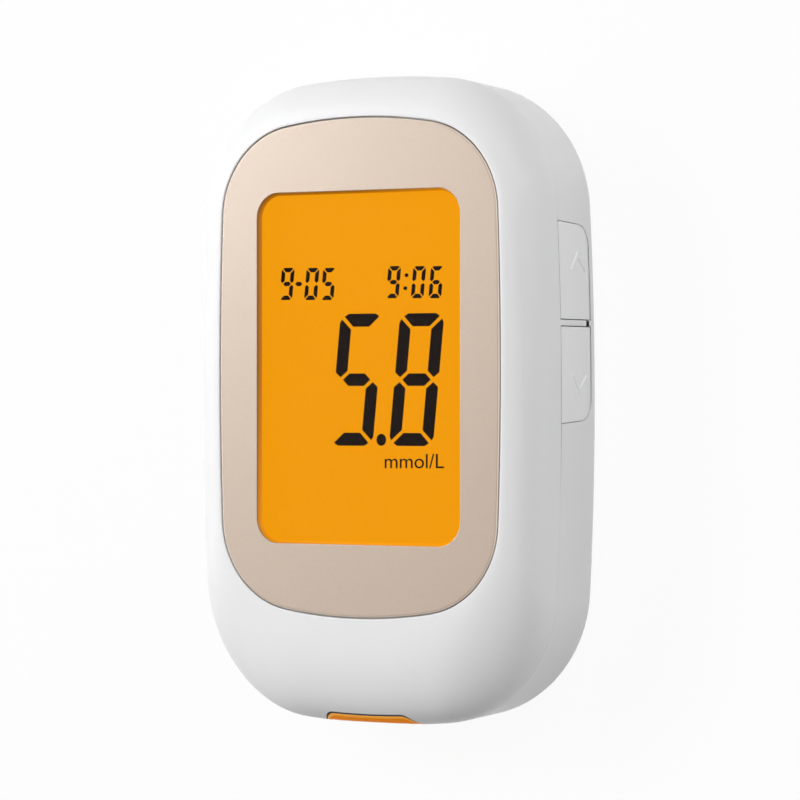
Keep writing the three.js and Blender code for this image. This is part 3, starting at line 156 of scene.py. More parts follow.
# %% [markdown]
# ## Moulded plastics
#
# The housing is a white plastic, moulded in a polished tool. It is glossy but not a mirror: long
# shallow waves from the cooling plastic and a very fine grain keep its highlights soft. A flat colour
# would look like paper, so the colour, the roughness and the relief each vary a little. The orange
# of the strip port has a faint painted glow of its own, which stands for light passed on from
# behind, and its thin lip is painted lighter with a stronger glow, a painted highlight. Down in its
# slot it is a plain deep orange without glow, which is painted shade. The walls down in the joints
# are painted a dark grey, painted shade where hardly any light gets out of so narrow a gap.

# %% Plastics
def moulded(name, colour, roughness, grain=0.0004, wave=0.012, relief=0.000004, gloss=0.0):
    """A moulded plastic: colour and roughness drift over some millimetres, over a fine grain.

    wave and grain are the lengths of the drift and the grain in metres, relief is the depth, and
    gloss is the share of a polished skin."""
    finish = Finish(name, Specular_IOR_Level=0.5, Coat_Weight=gloss, Coat_Roughness=0.06)
    drift, fine = finish.noise(wave, 2.0), finish.noise(grain, 2.0)
    darker = tuple(0.955 * c for c in colour)
    finish.set({"Base Color": finish.blend(drift, darker, colour),
                "Roughness": roughness + 0.06 * drift + 0.05 * fine})
    return finish.bump(fine * 0.6 + drift * 8.0, relief, 0.5)


shell_white = moulded("shell_white", srgb(241, 241, 242), 0.38, gloss=0.1)
key_white = moulded("key_white", srgb(250, 250, 251), 0.42, grain=0.00022, relief=0.000006)
carrier_white = moulded("carrier_white", srgb(232, 232, 226), 0.55)
port_orange = moulded("port_orange", srgb(254, 142, 4), 0.5, wave=0.005)
# The emission is a painted glow that stands for light passed on through the orange from behind.
port_orange.set({"Specular_IOR_Level": 0.08, "Emission_Strength": 0.24, "Emission_Color": srgb(246, 138, 6)})
# A lighter orange and a stronger emission on the lip: a painted highlight and a painted glow.
port_lip_painted_highlight = moulded("port_lip_painted_highlight", srgb(255, 168, 34), 0.45, wave=0.005)
port_lip_painted_highlight.set({"Specular_IOR_Level": 0.3, "Emission_Strength": 0.26, "Emission_Color": srgb(246, 170, 48)})
# A darker orange with no glow: painted shade down in the slot.
port_slot_painted_shade = moulded("port_slot_painted_shade", srgb(128, 60, 6), 0.6)
# Painted shade: a dark grey for the walls down in the joints.
painted_joint_shade = moulded("painted_joint_shade", srgb(70, 70, 73), 0.7)
plastics = (shell_white, key_white, carrier_white, port_orange, port_lip_painted_highlight, port_slot_painted_shade, painted_joint_shade)
print("plastics:", [finish.material.name for finish in plastics])

# %% [markdown]
# ## Champagne face panel
#
# The panel is a thin aluminium sheet, blasted and anodised in a pale champagne. The blasting leaves
# pits of about a sixth of a millimetre, which break the reflection into a satin speckle. A cell
# pattern gives the pits and a cloudy noise the slow drift of the anodising. A clear satin coat over
# it gives the broad pale sheen that runs down from the upper left.

# %% Champagne
PIT = 0.00016


def champagne_finish():
    """Satin metal: each blasted pit has its own shade, tilt and roughness."""
    finish = Finish("panel_champagne", Metallic=0.25, Specular_IOR_Level=0.5, Coat_Weight=1.0,
                    Coat_Roughness=0.35)
    pits = finish.node("ShaderNodeTexVoronoi", {"feature": "F1"},
                       {"Vector": finish.place(), "Scale": 1 / PIT}, out="Color")
    shade = finish.node("ShaderNodeSeparateColor", None, {0: pits})
    drift = finish.noise(0.02, 2.0)
    pale, deep = srgb(171, 151, 133), srgb(161, 142, 125)
    speckle = 0.35 * drift + 0.5 * shade
    return finish.set({"Base Color": finish.blend(speckle, deep, pale),
                       "Roughness": 0.36 + 0.14 * shade}).bump(shade, 0.000005, 0.6)


panel_champagne = champagne_finish()
print(f"champagne pits {PIT * 1000} mm across")

# %% [markdown]
# ## Clear and lit pieces
#
# The lens is an acrylic pane. Real refraction costs much time and shows nothing in a flat pane, so it
# is a thin gloss that lets nearly all light through. The display behind it is lit from the back.
# Most of what is seen is its own amber glow, a little stronger towards the lamp at the top, with the
# faint grid of a liquid-crystal sheet. The trim ring round the window is a clear amber with a painted
# glow, which stands for some of that glow taken up. Painted shade darkens it in the corner next to
# the upper left, and towards the panel's edge, which keeps the room's light off it.

# %% Lens, display and figures
CELL, TRIM_TOP, TRIM_DROP = 0.00032, 0.02085, 0.0006
lens_clear = Finish("lens_clear", Specular_IOR_Level=0.3)
dust = lens_clear.noise(0.006, 4.0)
lens_clear.cloudy(dust, srgb(40, 32, 20), srgb(52, 44, 30), 0.06, 0.04).set({"Alpha": 0.016 + 0.008 * dust})
lens_clear.material.surface_render_method = "BLENDED"

display_amber = Finish("display_amber", Specular_IOR_Level=0.0, Roughness=0.5, Emission_Strength=1.0)
across, along, _ = display_amber.axes()
columns, rows = ((way / CELL).math("FRACT") > 0.9 for way in (across, along))
cell_lines = columns * 0.4 + rows * 0.4
towards_lamp = (along / 0.055 + 0.5).math("MINIMUM", 1.0, clamp=True)
haze = 0.4 * towards_lamp + 0.4 * display_amber.noise(0.03)
lit = display_amber.blend(haze, srgb(243, 155, 10), srgb(247, 160, 14))
display_amber.cloudy(haze, srgb(40, 24, 4), srgb(46, 28, 5)).set({
    "Emission Color": display_amber.blend(cell_lines * 0.1, lit, srgb(214, 128, 8))})
trim_amber = Finish("trim_amber", Specular_IOR_Level=0.3, Emission_Strength=1.0, Roughness=0.4)
sideways, upwards, height = trim_amber.axes()
# Painted shade: the trim's glow grows towards the lower right and away from the panel's edge.
painted_light_lower_right = (sideways / 0.036 - (upwards - 0.0048) / 0.053 + 0.5).math("MAXIMUM", 0.0)
glow = painted_light_lower_right + (TRIM_TOP - height) / TRIM_DROP * 0.45
trim_amber.cloudy(trim_amber.noise(0.004), srgb(148, 92, 3), srgb(156, 98, 5)).set({
    "Emission Color": trim_amber.blend(glow.math("MINIMUM", 1.0), srgb(80, 48, 2), srgb(206, 130, 8))})

figure_dark = Finish("figure_dark", Specular_IOR_Level=0.05, Roughness=0.6)
figure_dark.cloudy(figure_dark.noise(0.0005), srgb(13, 5, 4), srgb(21, 10, 8))

guide_clear = Finish("guide_clear", Roughness=0.2, Emission_Strength=0.1)
ribs = (guide_clear.axes()[1] / 0.0008).math("SINE")
guide_clear.cloudy(ribs * 0.5 + 0.5, srgb(250, 226, 178), srgb(252, 238, 206)).set({
    "Emission Color": srgb(250, 200, 110)})
lamp_amber = Finish("lamp_amber", Roughness=0.4, Emission_Strength=0.5)
lamp_amber.cloudy(lamp_amber.noise(0.001), srgb(250, 190, 80), srgb(252, 214, 130)).set({
    "Emission Color": srgb(250, 180, 70)})
print("display glow", display_amber.shader.inputs["Emission Strength"].default_value)

# %% [markdown]
# ## Metals, board and cells
#
# Inside are plated steel plates and springs, gilded strip contacts, a green circuit board with
# copper tracks under its lacquer, black packages, and two cells in a printed film. The film keeps
# only its two plain colours and a ring, as printed words would name a maker.

# %% Metals
def plated(name, colour, roughness, grain=0.0006):
    """A plated metal: fine drawn lines along Y and a slow stain."""
    finish = Finish(name, Metallic=1.0)
    lines, stain = finish.noise(grain, 2.0, stretch=(4, 0.3, 4)), finish.noise(0.004)
    dull = tuple(0.8 * c for c in colour)
    finish.set({"Base Color": finish.blend(stain, dull, colour),
                "Roughness": roughness + 0.12 * lines + 0.1 * stain})
    return finish.bump(lines, 0.000004, 0.5)


part_steel = plated("part_steel", srgb(198, 200, 204), 0.24)
contact_gold = plated("contact_gold", srgb(226, 186, 92), 0.22)


def board_finish():
    """Tracks are where a stretched cell pattern is near an edge, under a green lacquer."""
    finish = Finish("board_green", Specular_IOR_Level=0.5)
    edge = finish.node("ShaderNodeTexVoronoi", {"feature": "DISTANCE_TO_EDGE"},
                       {"Vector": finish.place(), "Scale": 320.0, "Randomness": 0.7})
    tracks = edge < 0.05
    fine = finish.noise(0.0003)
    return finish.set({
        "Base Color": finish.blend(tracks, srgb(26, 96, 52), srgb(58, 132, 72)),
        "Roughness": 0.3 + 0.15 * fine}).bump(tracks, 0.00003, 0.6)


def package_finish():
    """Black moulded resin with a dull fine grain."""
    finish = Finish("chip_black", Specular_IOR_Level=0.4)
    fine = finish.noise(0.00015)
    return finish.cloudy(fine, srgb(24, 24, 27), srgb(40, 40, 43), 0.5, 0.2).bump(fine, 0.00001, 0.6)


def strip_finish():
    """The contact strip: rubber with one dark conducting line every half millimetre along X."""
    finish = Finish("strip_rubber", Specular_IOR_Level=0.3)
    dark = (finish.axes()[0] / 0.0005).math("FRACT") > 0.5
    return finish.set({"Base Color": finish.blend(dark, srgb(150, 152, 156), srgb(38, 38, 40)),
                       "Roughness": 0.7 + 0.15 * finish.noise(0.0004)})


def cell_finish(turned):
    """Film round a cell in two colours: a warm band by the nub, a dark one, and a fine ring between."""
    finish = Finish("cell_film_turned" if turned else "cell_film", Metallic=0.35)
    along = finish.axes()[1] * (-1.0 if turned else 1.0)
    warm, ring = along > 0.0095, (along > 0.0085) * (along < 0.0093)
    bare = ((along > 0.0150) + (along < -0.0275)).math("MINIMUM", 1.0)
    stain = finish.noise(0.002)
    film = finish.blend(warm, srgb(44, 52, 66), srgb(190, 120, 62))
    film = finish.blend(ring, film, srgb(226, 226, 222))
    return finish.set({"Base Color": finish.blend(bare, film, srgb(200, 201, 203)),
                       "Metallic": 0.35 + 0.6 * bare,
                       "Roughness": 0.28 + 0.1 * stain}).bump(stain, 0.00001, 0.4)


board_green, chip_black, strip_rubber = board_finish(), package_finish(), strip_finish()
cell_film, cell_film_turned = cell_finish(False), cell_finish(True)

# %% [markdown]
# ## Finishes of the CAD pieces
#
# Every CAD piece gets its finish by name, and what isn't named here is contact gold, plated steel or
# the housing's white. Where a finer shape stands for a CAD piece further down, that piece is hidden.

# %% Dress the CAD nodes
DRESS = {
    "window_lens": lens_clear, "display_glass": display_amber, "light_guide": guide_clear,
    "backlight_lamp": lamp_amber,
    "display_frame": carrier_white, "contact_strip": strip_rubber, "main_board": board_green,
    "processor_chip": chip_black, "amplifier_chip": chip_black, "buzzer": chip_black,
    "clock_crystal": part_steel, "strip_socket": carrier_white, "battery_door": shell_white,
    "battery_cell_left": cell_film, "battery_cell_right": cell_film_turned,
    "contact_bridge": part_steel, "key_switch_up": chip_black, "key_switch_down": chip_black,
    "switch_plunger_up": carrier_white, "switch_plunger_down": carrier_white,
}
for name, node in nodes.items():
    finish = DRESS.get(name)
    if finish is None:
        gilded = name.startswith("strip_contact")
        metal = name.startswith(("spring", "contact_plate", "housing_screw"))
        finish = contact_gold if gilded else part_steel if metal else shell_white
    wear(node, finish)
print(f"{len(nodes)} nodes dressed")

# %% [markdown]
# ## One outline for the whole body
#
# Seen from the front, the body is no ellipse and no rounded rectangle. Each quarter is three arcs
# that touch: a nearly straight side, a tight corner and a bulging end. The panel has the same kind
# of outline with its own sizes. Both are written as one function of a running number `s` from 0 to
# 12, three arcs to a quarter, so that a point of the panel's rim always has a partner on the body.

# %% Three-arc outline
MM = 0.001
BODY = dict(width=62.4, length=96.6, end=134.0, corner=20.2, side=526.0, rise=0.0)
PANEL = dict(width=49.5, length=74.3, end=82.0, corner=13.7, side=628.0, rise=4.83)


def folded(s):
    """s folded into one quarter: the arc's number, the share along it, and the signs of X and Y."""
    s = np.mod(s, 12.0)
    fold = np.mod(s, 6.0)
    fold = np.minimum(fold, 6.0 - fold)
    arc = np.clip(np.floor(fold), 0, 2)
    return arc, fold - arc, np.where((s <= 3) | (s >= 9), 1.0, -1.0), np.where(s <= 6, 1.0, -1.0)


def by_arc(arc, side, corner, end):
    """One of three values, by the arc's number."""
    return np.select([arc == 0, arc == 1], [side, corner], end)


def outline(shape, s, inset=0.0):
    """Points and outward directions of a three-arc outline, drawn in by an inset.

    A quarter's arcs have their centres on the two axes and at the corner. The corner's centre is as
    far from each of the other two as their radii differ. `s` folds into one quarter, its whole part
    picks the arc and its fraction the angle between the arc's ends."""
    half, long = shape["width"] / 2 - inset, shape["length"] / 2 - inset
    end, corner, side = (shape[k] - inset for k in ("end", "corner", "side"))
    end_y, side_x = long - end, half - side
    apart = np.hypot(side_x, end_y)
    to_end, to_side = end - corner, side - corner
    along = (to_end**2 - to_side**2 + apart**2) / (2 * apart)
    across = np.sqrt(np.maximum(to_end**2 - along**2, 0))
    ux, uy = side_x / apart, -end_y / apart
    corner_x, corner_y = ux * along + uy * across, end_y + uy * along - ux * across
    first = np.arctan2(corner_y, corner_x - side_x)
    last = np.arctan2(corner_y - end_y, corner_x)
    arc, part, right, upper = folded(s)
    angle = by_arc(arc, part * first, first + part * (last - first), last + part * (math.pi / 2 - last))
    radius = by_arc(arc, side, corner, end)
    cx, cy = by_arc(arc, side_x, corner_x, 0.0), by_arc(arc, 0.0 * side_x, corner_y, end_y)
    nx, ny = np.cos(angle) * right, np.sin(angle) * upper
    x, y = (cx + radius * np.cos(angle)) * right, (cy + radius * np.sin(angle)) * upper
    return x, y + shape["rise"], nx, ny


SIDE_STEPS, CORNER_STEPS, END_STEPS = 12, 22, 12
quarter = np.concatenate([np.arange(SIDE_STEPS) / SIDE_STEPS, 1 + np.arange(CORNER_STEPS) / CORNER_STEPS,
                          2 + np.arange(END_STEPS) / END_STEPS])
ROUND = np.concatenate([quarter, 6 - np.append(quarter[1:], 3.0)[::-1]])
ROUND = np.concatenate([ROUND, 6 + ROUND])
print(f"outline of {len(ROUND)} points, {np.ptp(outline(BODY, ROUND)[1]):.2f} mm long")

# %% [markdown]
# ## The outside of the body as a surface of two numbers
#
# Every point of the housing's outside is given by `s`, round the outline, and `z`, the height. Below
# the parting line the outline only draws in, first by the wall's lean and then by the back edge's
# rounding. Above it, it blends from the body's outline into the panel's rim along a rounded curve.
# That curve is fuller at the lower end, where the real cover stays flat for longer and turns later.

# %% Outside surface
PARTING, DEPTH, FACE = 14.35, 6.65, 21.0
LEAN, BACK_EDGE = 0.5, 5.1
ACROSS, UP, LOWER_END, LOWER_BLEND = 1.66, 1.89, 2.8, 8
RIM = 0.4


def back_inset(z):
    """How far the tray draws in: a straight lean above the rounding, a quarter circle below."""
    lean = LEAN * (PARTING - z) / (PARTING - BACK_EDGE)
    low = np.clip(BACK_EDGE - z, 0, BACK_EDGE)
    return np.where(z >= BACK_EDGE, lean, LEAN + BACK_EDGE - np.sqrt(BACK_EDGE**2 - low**2))


def outside(s, z, inset=0.0):
    """X and Y of the body's outside at s and z, for arrays of the same shape."""
    s, z = np.broadcast_arrays(np.asarray(s, float), np.asarray(z, float))
    up = np.clip((z - PARTING) / DEPTH, 0, 1)
    wide_x, wide_y, _, ny = outline(BODY, s, inset + np.where(z < PARTING, back_inset(z), 0.0))
    rim_x, rim_y, _, _ = outline(PANEL, s, inset - RIM)
    lower = np.maximum(-ny, 0) ** LOWER_BLEND
    out = (1 - up ** (UP + (LOWER_END - UP) * lower)) ** (1 / (ACROSS + (LOWER_END - ACROSS) * lower))
    return rim_x + out * (wide_x - rim_x), rim_y + out * (wide_y - rim_y)


def side_x(y, z):
    """X of the key side at y and z: the side arc's circle at that height."""
    inset = back_inset(z)
    radius = BODY["side"] - inset
    return BODY["width"] / 2 - inset - radius + np.sqrt(radius**2 - y**2)


def end_y(x, z):
    """Y of the lower end at x and z, by halving the stretch of s that holds x, forty times."""
    low, high = np.full(np.shape(x), 7.6), np.full(np.shape(x), 10.4)
    for _ in range(40):
        middle = (low + high) / 2
        left = outside(middle, z)[0] < x
        low, high = np.where(left, middle, low), np.where(left, high, middle)
    return outside((low + high) / 2, z)[1]


print(f"lower end at the middle: {end_y(np.zeros(1), np.full(1, 18.6))[0]:.2f} mm")

# %% [markdown]
# ## From arrays to a mesh
#
# A piece is a stack of rings, each with the same number of points. Joining each ring to the next
# gives a skin. Where the last ring joins the first again, the skin closes on itself like a tyre.
# Where its first and last ring are folded onto a line, it closes like a zip, once equal points are
# welded. Otherwise its two ends are closed by a fan to their middles. Edges that turn sharply stay
# crisp.

# %% Mesh helpers
def skin(rings, close="fan"):
    """Points and quads of a stack of rings, shape (rings, points, 3), closed round the points.

    Quad corners are the four index grids shifted by one ring and one point."""
    rings = np.asarray(rings, float)
    count, around = rings.shape[:2]
    index = np.arange(count * around).reshape(count, around)
    if close == "tyre":
        index = np.vstack([index, index[:1]])
    a, b = index[:-1], np.roll(index[:-1], -1, axis=1)
    d, c = index[1:], np.roll(index[1:], -1, axis=1)
    quads = np.stack([a, b, c, d], axis=-1).reshape(-1, 4).tolist()
    points = rings.reshape(-1, 3)
    if close == "fan":
        ends = np.stack([rings[0].mean(axis=0), rings[-1].mean(axis=0)])
        first, last = len(points), len(points) + 1
        points = np.vstack([points, ends])
        near, far = index[0], index[-1]
        quads += np.stack([np.full(around, first), np.roll(near, -1), near], axis=-1).tolist()
        quads += np.stack([np.full(around, last), far, np.roll(far, -1)], axis=-1).tolist()
    return points, quads


def put(name, data):
    """A new object in the scene."""
    made = bpy.data.objects.new(name, data)
    bpy.context.scene.collection.objects.link(made)
    return made


def triples(items, key):
    """Three numbers of each vertex or face, such as its place, as an array."""
    found = np.zeros(len(items) * 3)
    items.foreach_get(key, found)
    return found.reshape(-1, 3)


def finish_piece(made, finish, crisp=32):
    """Smooth shading but for edges that turn by more than `crisp` degrees, and the material."""
    made.data.shade_smooth()
    made.data.set_sharp_from_angle(angle=math.radians(crisp))
    wear(made, finish)


def settle(made, body, stands_for):
    """Lets a piece ride on a body and stand for CAD nodes, where these are given."""
    if body:
        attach(made, body)
    if stands_for:
        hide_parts(*stands_for)


def piece(name, parts, finish, body=None, stands_for=(), crisp=32, turn_out=True):
    """One object from one or more (points, faces) in millimetres.

    Equal points are welded and the faces turned outwards, unless turn_out says that they are so."""
    points, faces, start = [], [], 0
    for some_points, some_faces in parts:
        points.append(np.asarray(some_points, float))
        faces += [[i + start for i in face] for face in some_faces]
        start += len(some_points)
    mesh = bpy.data.meshes.new(name)
    mesh.from_pydata((np.vstack(points) * MM).tolist(), [], faces)
    if turn_out:
        work = bmesh.new()
        work.from_mesh(mesh)
        bmesh.ops.remove_doubles(work, verts=work.verts, dist=1e-9)
        bmesh.ops.recalc_face_normals(work, faces=work.faces)
        work.to_mesh(mesh)
        work.free()
    made = put(name, mesh)
    finish_piece(made, finish, crisp)
    settle(made, body, stands_for)
    return made


def second_finish(made, finishes, places):
    """Further materials, and the number of the one that each face takes."""
    for finish in finishes:
        made.data.materials.append(finish.material)
    made.data.polygons.foreach_set("material_index", np.asarray(places).astype(np.int32))


def cut_out(made, tools):
    """Takes scratch pieces away from a piece and then removes them."""
    for tool in tools:
        change = made.modifiers.new("opening", "BOOLEAN")
        change.operation, change.solver, change.object = "DIFFERENCE", "EXACT", tool
    depsgraph = bpy.context.evaluated_depsgraph_get()
    mesh = bpy.data.meshes.new_from_object(made.evaluated_get(depsgraph))
    made.modifiers.clear()
    old, made.data = made.data, mesh
    bpy.data.meshes.remove(old)
    for tool in tools:
        bpy.data.objects.remove(tool)
    return made


def copy_of(name, cut_x=None):
    """Points (mm) and faces of a CAD node, its loose triangles merged into one closed skin.

    With cut_x, what lies past that plane in X is cut off and the cut is closed."""
    work = bmesh.new()
    work.from_mesh(nodes[name].data)
    bmesh.ops.remove_doubles(work, verts=work.verts, dist=1e-7)
    if cut_x is not None:
        whole = work.verts[:] + work.edges[:] + work.faces[:]
        bmesh.ops.bisect_plane(work, geom=whole, plane_co=(cut_x * MM, 0, 0), plane_no=(1, 0, 0),
                               clear_outer=True)
        bmesh.ops.holes_fill(work, edges=[e for e in work.edges if e.is_boundary], sides=0)
        work.verts.index_update()
    points = np.array([v.co[:] for v in work.verts]) / MM
    faces = [[v.index for v in face.verts] for face in work.faces]
    work.free()
    return points, faces


def ring_at(z, x, y):
    """A level ring."""
    return np.stack([x, y, np.full_like(x, z)], axis=-1)


def level(shape, inset, z):
    """A three-arc outline at a height."""
    x, y, _, _ = outline(shape, ROUND, inset)
    return ring_at(z, x, y)


def pane(width, length, radius, z):
    """A rounded rectangle with the outline's points: straight side, corner arc and straight end."""
    arc, part, right, upper = folded(ROUND)
    a, b = width / 2 - radius, length / 2 - radius
    turn = part * math.pi / 2
    x = by_arc(arc, a + radius, a + radius * np.cos(turn), a * (1 - part))
    y = by_arc(arc, b * part, b + radius * np.sin(turn), b + radius)
    return ring_at(z, x * right, y * upper + PANEL["rise"])

# %% [markdown]
# ## Panel, trim ring and lens
#
# The panel is a punched plate 0.8 mm thick. Its outer edge falls away in two steps, a narrow shallow
# one that is cut bright, which is the pale line round it, and a steep one below. The window's edge
# is only a hairline. Both edges are rings of one closed skin. The flat face gets a ring close to
# each edge, so that its shading stays flat. The lens lies in a pocket of the front shell, glued
# under the panel, and an amber trim ring slopes from the panel's edge down to it.

# %% Panel
WINDOW = dict(width=35.85, length=52.55, radius=3.8)
PANEL_BACK = 20.2


def window_ring(inset, z):
    """The window's outline drawn in by an inset, at a height."""
    return pane(WINDOW["width"] - 2 * inset, WINDOW["length"] - 2 * inset, WINDOW["radius"] - inset, z)


# Pairs of inset and height in millimetres, from the outer edge inwards
PANEL_EDGE = [(0.06, PANEL_BACK), (0.06, 20.7), (0.08, 20.75), (0.14, 20.88), (0.16, 20.91),
              (0.27, 20.975), (0.45, FACE), (0.5, FACE), (1.4, FACE)]
WINDOW_EDGE = [(-1.2, FACE), (-0.1, FACE), (-0.07, FACE), (-0.02, 20.985), (0, 20.95), (0, PANEL_BACK)]
TRIM = [(0.04, PANEL_BACK), (0.04, 20.86), (0.06, 20.88), (0.1, 20.87), (0.14, 20.82), (0.38, 20.26),
        (0.42, PANEL_BACK)]
BRIGHT_BAND = 4

panel_rings = [level(PANEL, *step) for step in PANEL_EDGE] + [window_ring(*step) for step in WINDOW_EDGE]
face_panel = piece("face_panel_fine", [skin(panel_rings, close="tyre")], panel_champagne, "housing",
                   ["face_panel"])
bright_edge = Finish("panel_bright_edge", Metallic=0.3)
scratch = bright_edge.noise(0.0003, stretch=(1, 1, 6))
bright_edge.cloudy(scratch, srgb(226, 216, 205), srgb(214, 203, 191), 0.45, 0.1)
second_finish(face_panel, [bright_edge], np.repeat(np.arange(len(panel_rings)) == BRIGHT_BAND, len(ROUND)))

piece("window_trim_fine", [skin([window_ring(*step) for step in TRIM], close="tyre")], trim_amber, "housing",
      ["window_trim"])
print(f"panel: {len(face_panel.data.polygons)} faces")

# %% [markdown]
# ## Front shell
#
# The cover is one closed skin through the whole of its wall: lens ledge, lens pocket, floor of the
# panel's recess, rim, shoulder, parting edge, lip rebate, hollow, ceiling and back to the ledge. The
# rim and the parting edge get a tiny rounding, as a moulded edge has, because that is what catches
# the light. Four screw posts and the tongue between the keys are added to it.

# %% Front shell
LEDGE, LEDGE_TOP, POCKET_TOP = 18.1, 18.7, 20.05
POCKET, SIGHT = (40.45, 57.15, 6.1), (38.65, 55.35, 5.2)
RECESS_GAP, RIM_ROUND = 0.09, 0.1
COVER_EDGE, EDGE_ROUND, LIP, LIP_TOP, WALL, CEILING = 14.39, 0.04, 1.1, 15.75, 2.4, 1.0


def rounded(radius, steps=4):
    """Points of a quarter circle: how far in and how far up each of them lies."""
    turn = np.linspace(0, math.pi / 2, steps + 1)
    return zip(radius * (1 - np.cos(turn)), radius * np.sin(turn))


def body_ring(z, inset=0.0, lift=0.0):
    """A level ring on the body's outside, drawn in by an inset. `lift` reads the outside higher up."""
    return ring_at(z, *outside(ROUND, z + lift, inset))


def cover_rings():
    """The wall's section, ring by ring, from the ledge outwards and back under the ceiling."""
    rings = [pane(*SIGHT, LEDGE), pane(*SIGHT, LEDGE_TOP), pane(*POCKET, LEDGE_TOP)]
    rings += [pane(*POCKET, POCKET_TOP), level(PANEL, -RECESS_GAP, POCKET_TOP)]
    rings += [level(PANEL, -RECESS_GAP - i, FACE - RIM_ROUND + u) for i, u in rounded(RIM_ROUND)]
    turns = np.linspace(1, 0, 27)[:-1] * math.pi / 2
    rings += [body_ring(PARTING + DEPTH * math.sin(t) ** (2 / UP)) for t in turns]
    rings += [body_ring(COVER_EDGE + EDGE_ROUND - u, i) for i, u in rounded(EDGE_ROUND, 3)]
    rings += [level(BODY, LIP, COVER_EDGE), level(BODY, LIP, LIP_TOP)]
    rings += [body_ring(z, WALL, CEILING) for z in np.linspace(LIP_TOP, LEDGE, 5)]
    return rings


def turned(profile, x, y, count=40):
    """A surface of revolution about an upright line: a profile of radius and height, turned round."""
    angle = np.linspace(0, 2 * math.pi, count, endpoint=False)
    radius, height = np.array(profile).T
    rings = np.stack([x + radius[:, None] * np.cos(angle), y + radius[:, None] * np.sin(angle),
                      np.repeat(height[:, None], count, axis=1)], axis=-1)
    return skin(rings)


POST_PROFILE = [(1.1, 16.5), (1.1, 8.4), (2.8, 8.4), (2.8, 15.55), (3.5, 15.55), (3.5, 18.4)]
POSTS = [(-16.0, 38.6), (16.0, 38.6), (-21.0, -31.5), (21.0, -31.5)]
KEY_BAR = dict(y=11.31, half=0.465, gap=0.1, low=5.95, high=14.7, root=29.6)


def squared(wave, power):
    """A sine or cosine whose ends are flattened, so that a circle turns into a rounded slab."""
    return np.sign(wave) * np.abs(wave) ** power


def key_tongue():
    """A bar whose section is a rounded slab in X and Y, carried up the side from a round foot."""
    turn = np.linspace(0, 2 * math.pi, 32, endpoint=False)
    foot = [(0.0, 0.35), (0.06, 0.72), (0.16, 0.9), (0.3, 1.0)]
    levels = [(KEY_BAR["low"] + rise, share) for rise, share in foot]
    levels += [(z, 1.0) for z in np.linspace(KEY_BAR["low"] + 0.8, KEY_BAR["high"], 12)]
    rings = []
    for z, share in levels:
        y = KEY_BAR["y"] + KEY_BAR["half"] * share * squared(np.sin(turn), 0.45)
        surface = side_x(y, np.full_like(y, min(z, PARTING)))
        middle = (surface + KEY_BAR["root"]) / 2
        rings.append(ring_at(z, middle + (surface - middle) * share * squared(np.cos(turn), 0.3), y))
    return skin(rings)


front = piece("front_shell_fine", [skin(cover_rings(), close="tyre")], shell_white)
print(f"front shell: {len(front.data.polygons)} faces before the port is cut")

# %% [markdown]
# ## The strip port's outline
#
# The port is an eight-sided shape in X and Z with soft corners: a narrow top, a slanting shoulder,
# upright sides and a bevelled foot. The two shells are cut by it with a small gap, and the orange
# insert fills it. A soft corner is a curve pulled towards the corner point.

# %% Port outline and its cut
FRONT_PORT_GAP, REAR_PORT_GAP, PORT_CUT = 0.3, 0.16, (-50, -42.4)


def soft_polygon(corners, radii, corner_steps=6, side_steps=8):
    """A polygon in a plane whose corners are curves: each starts and ends a radius from its corner."""
    corners = np.asarray(corners, float)
    before, after = np.roll(corners, 1, axis=0), np.roll(corners, -1, axis=0)
    reach = np.asarray(radii, float)[:, None]
    enter, leave = (corners + reach * way / np.linalg.norm(way, axis=1, keepdims=True)
                    for way in (before - corners, after - corners))
    t = np.linspace(0, 1, corner_steps, endpoint=False)[None, :, None]
    bend = (1 - t) ** 2 * enter[:, None] + 2 * t * (1 - t) * corners[:, None] + t**2 * leave[:, None]
    u = np.linspace(0, 1, side_steps, endpoint=False)[None, :, None]
    side = (1 - u) * leave[:, None] + u * np.roll(enter, -1, axis=0)[:, None]
    return np.concatenate([bend, side], axis=1).reshape(-1, 2)


def port_outline(margin):
    """The port in X and Z, grown by a margin."""
    growth = margin * math.tan(math.pi / 8)
    right = [(6.9 + growth, 9.6 - margin), (8.5 + margin, 11.2 - growth), (8.5 + margin, PARTING + 1.65),
             (6.8 + growth, 18.2 + margin)]
    corners = right + [(-x, z) for x, z in reversed(right)]
    return soft_polygon(corners, [0.6, 0.6, 0.6, 1.0, 1.0, 0.6, 0.6, 0.6])


def flat_y(shape, y):
    """A shape in X and Z, set up at a place in Y."""
    return np.stack([shape[:, 0], np.full(len(shape), y), shape[:, 1]], axis=-1)


def flat_x(shape, x):
    """A shape in Y and Z, set up at a place in X."""
    return np.stack([np.full(len(shape), x), shape[:, 0], shape[:, 1]], axis=-1)


def cutter(name, set_up, shape, low, high):
    """A scratch piece: a flat shape carried from low to high, to cut an opening with."""
    return piece(name, [skin([set_up(shape, low), set_up(shape, high)])], shell_white)


cut_out(front, [cutter("port_tool", flat_y, port_outline(FRONT_PORT_GAP), *PORT_CUT)])
extra = [turned(POST_PROFILE, x, y) for x, y in POSTS] + [key_tongue()]
add_ons = piece("front_add_ons", extra, shell_white)
work = bmesh.new()
work.from_mesh(front.data)
work.from_mesh(add_ons.data)
work.to_mesh(front.data)
work.free()
bpy.data.objects.remove(add_ons)
finish_piece(front, shell_white)
settle(front, "housing", ["front_shell"])
print(f"front shell: {len(front.data.polygons)} faces")

# %% [markdown]
# ## Back shell
#
# The tray's inside matters, because the battery door opens: the bay, its slots and contacts are cut
# in the CAD solid, and a merged copy of it is kept. Only its outside is too coarse for glossy
# plastic. A thin skin with the true rounding lies over it, 0.4 mm thick, and comes to an edge where
# the flat back begins. Its upper edge leaves the parting gap, a hairline that opens a little beside
# the lower key, as in the photograph.

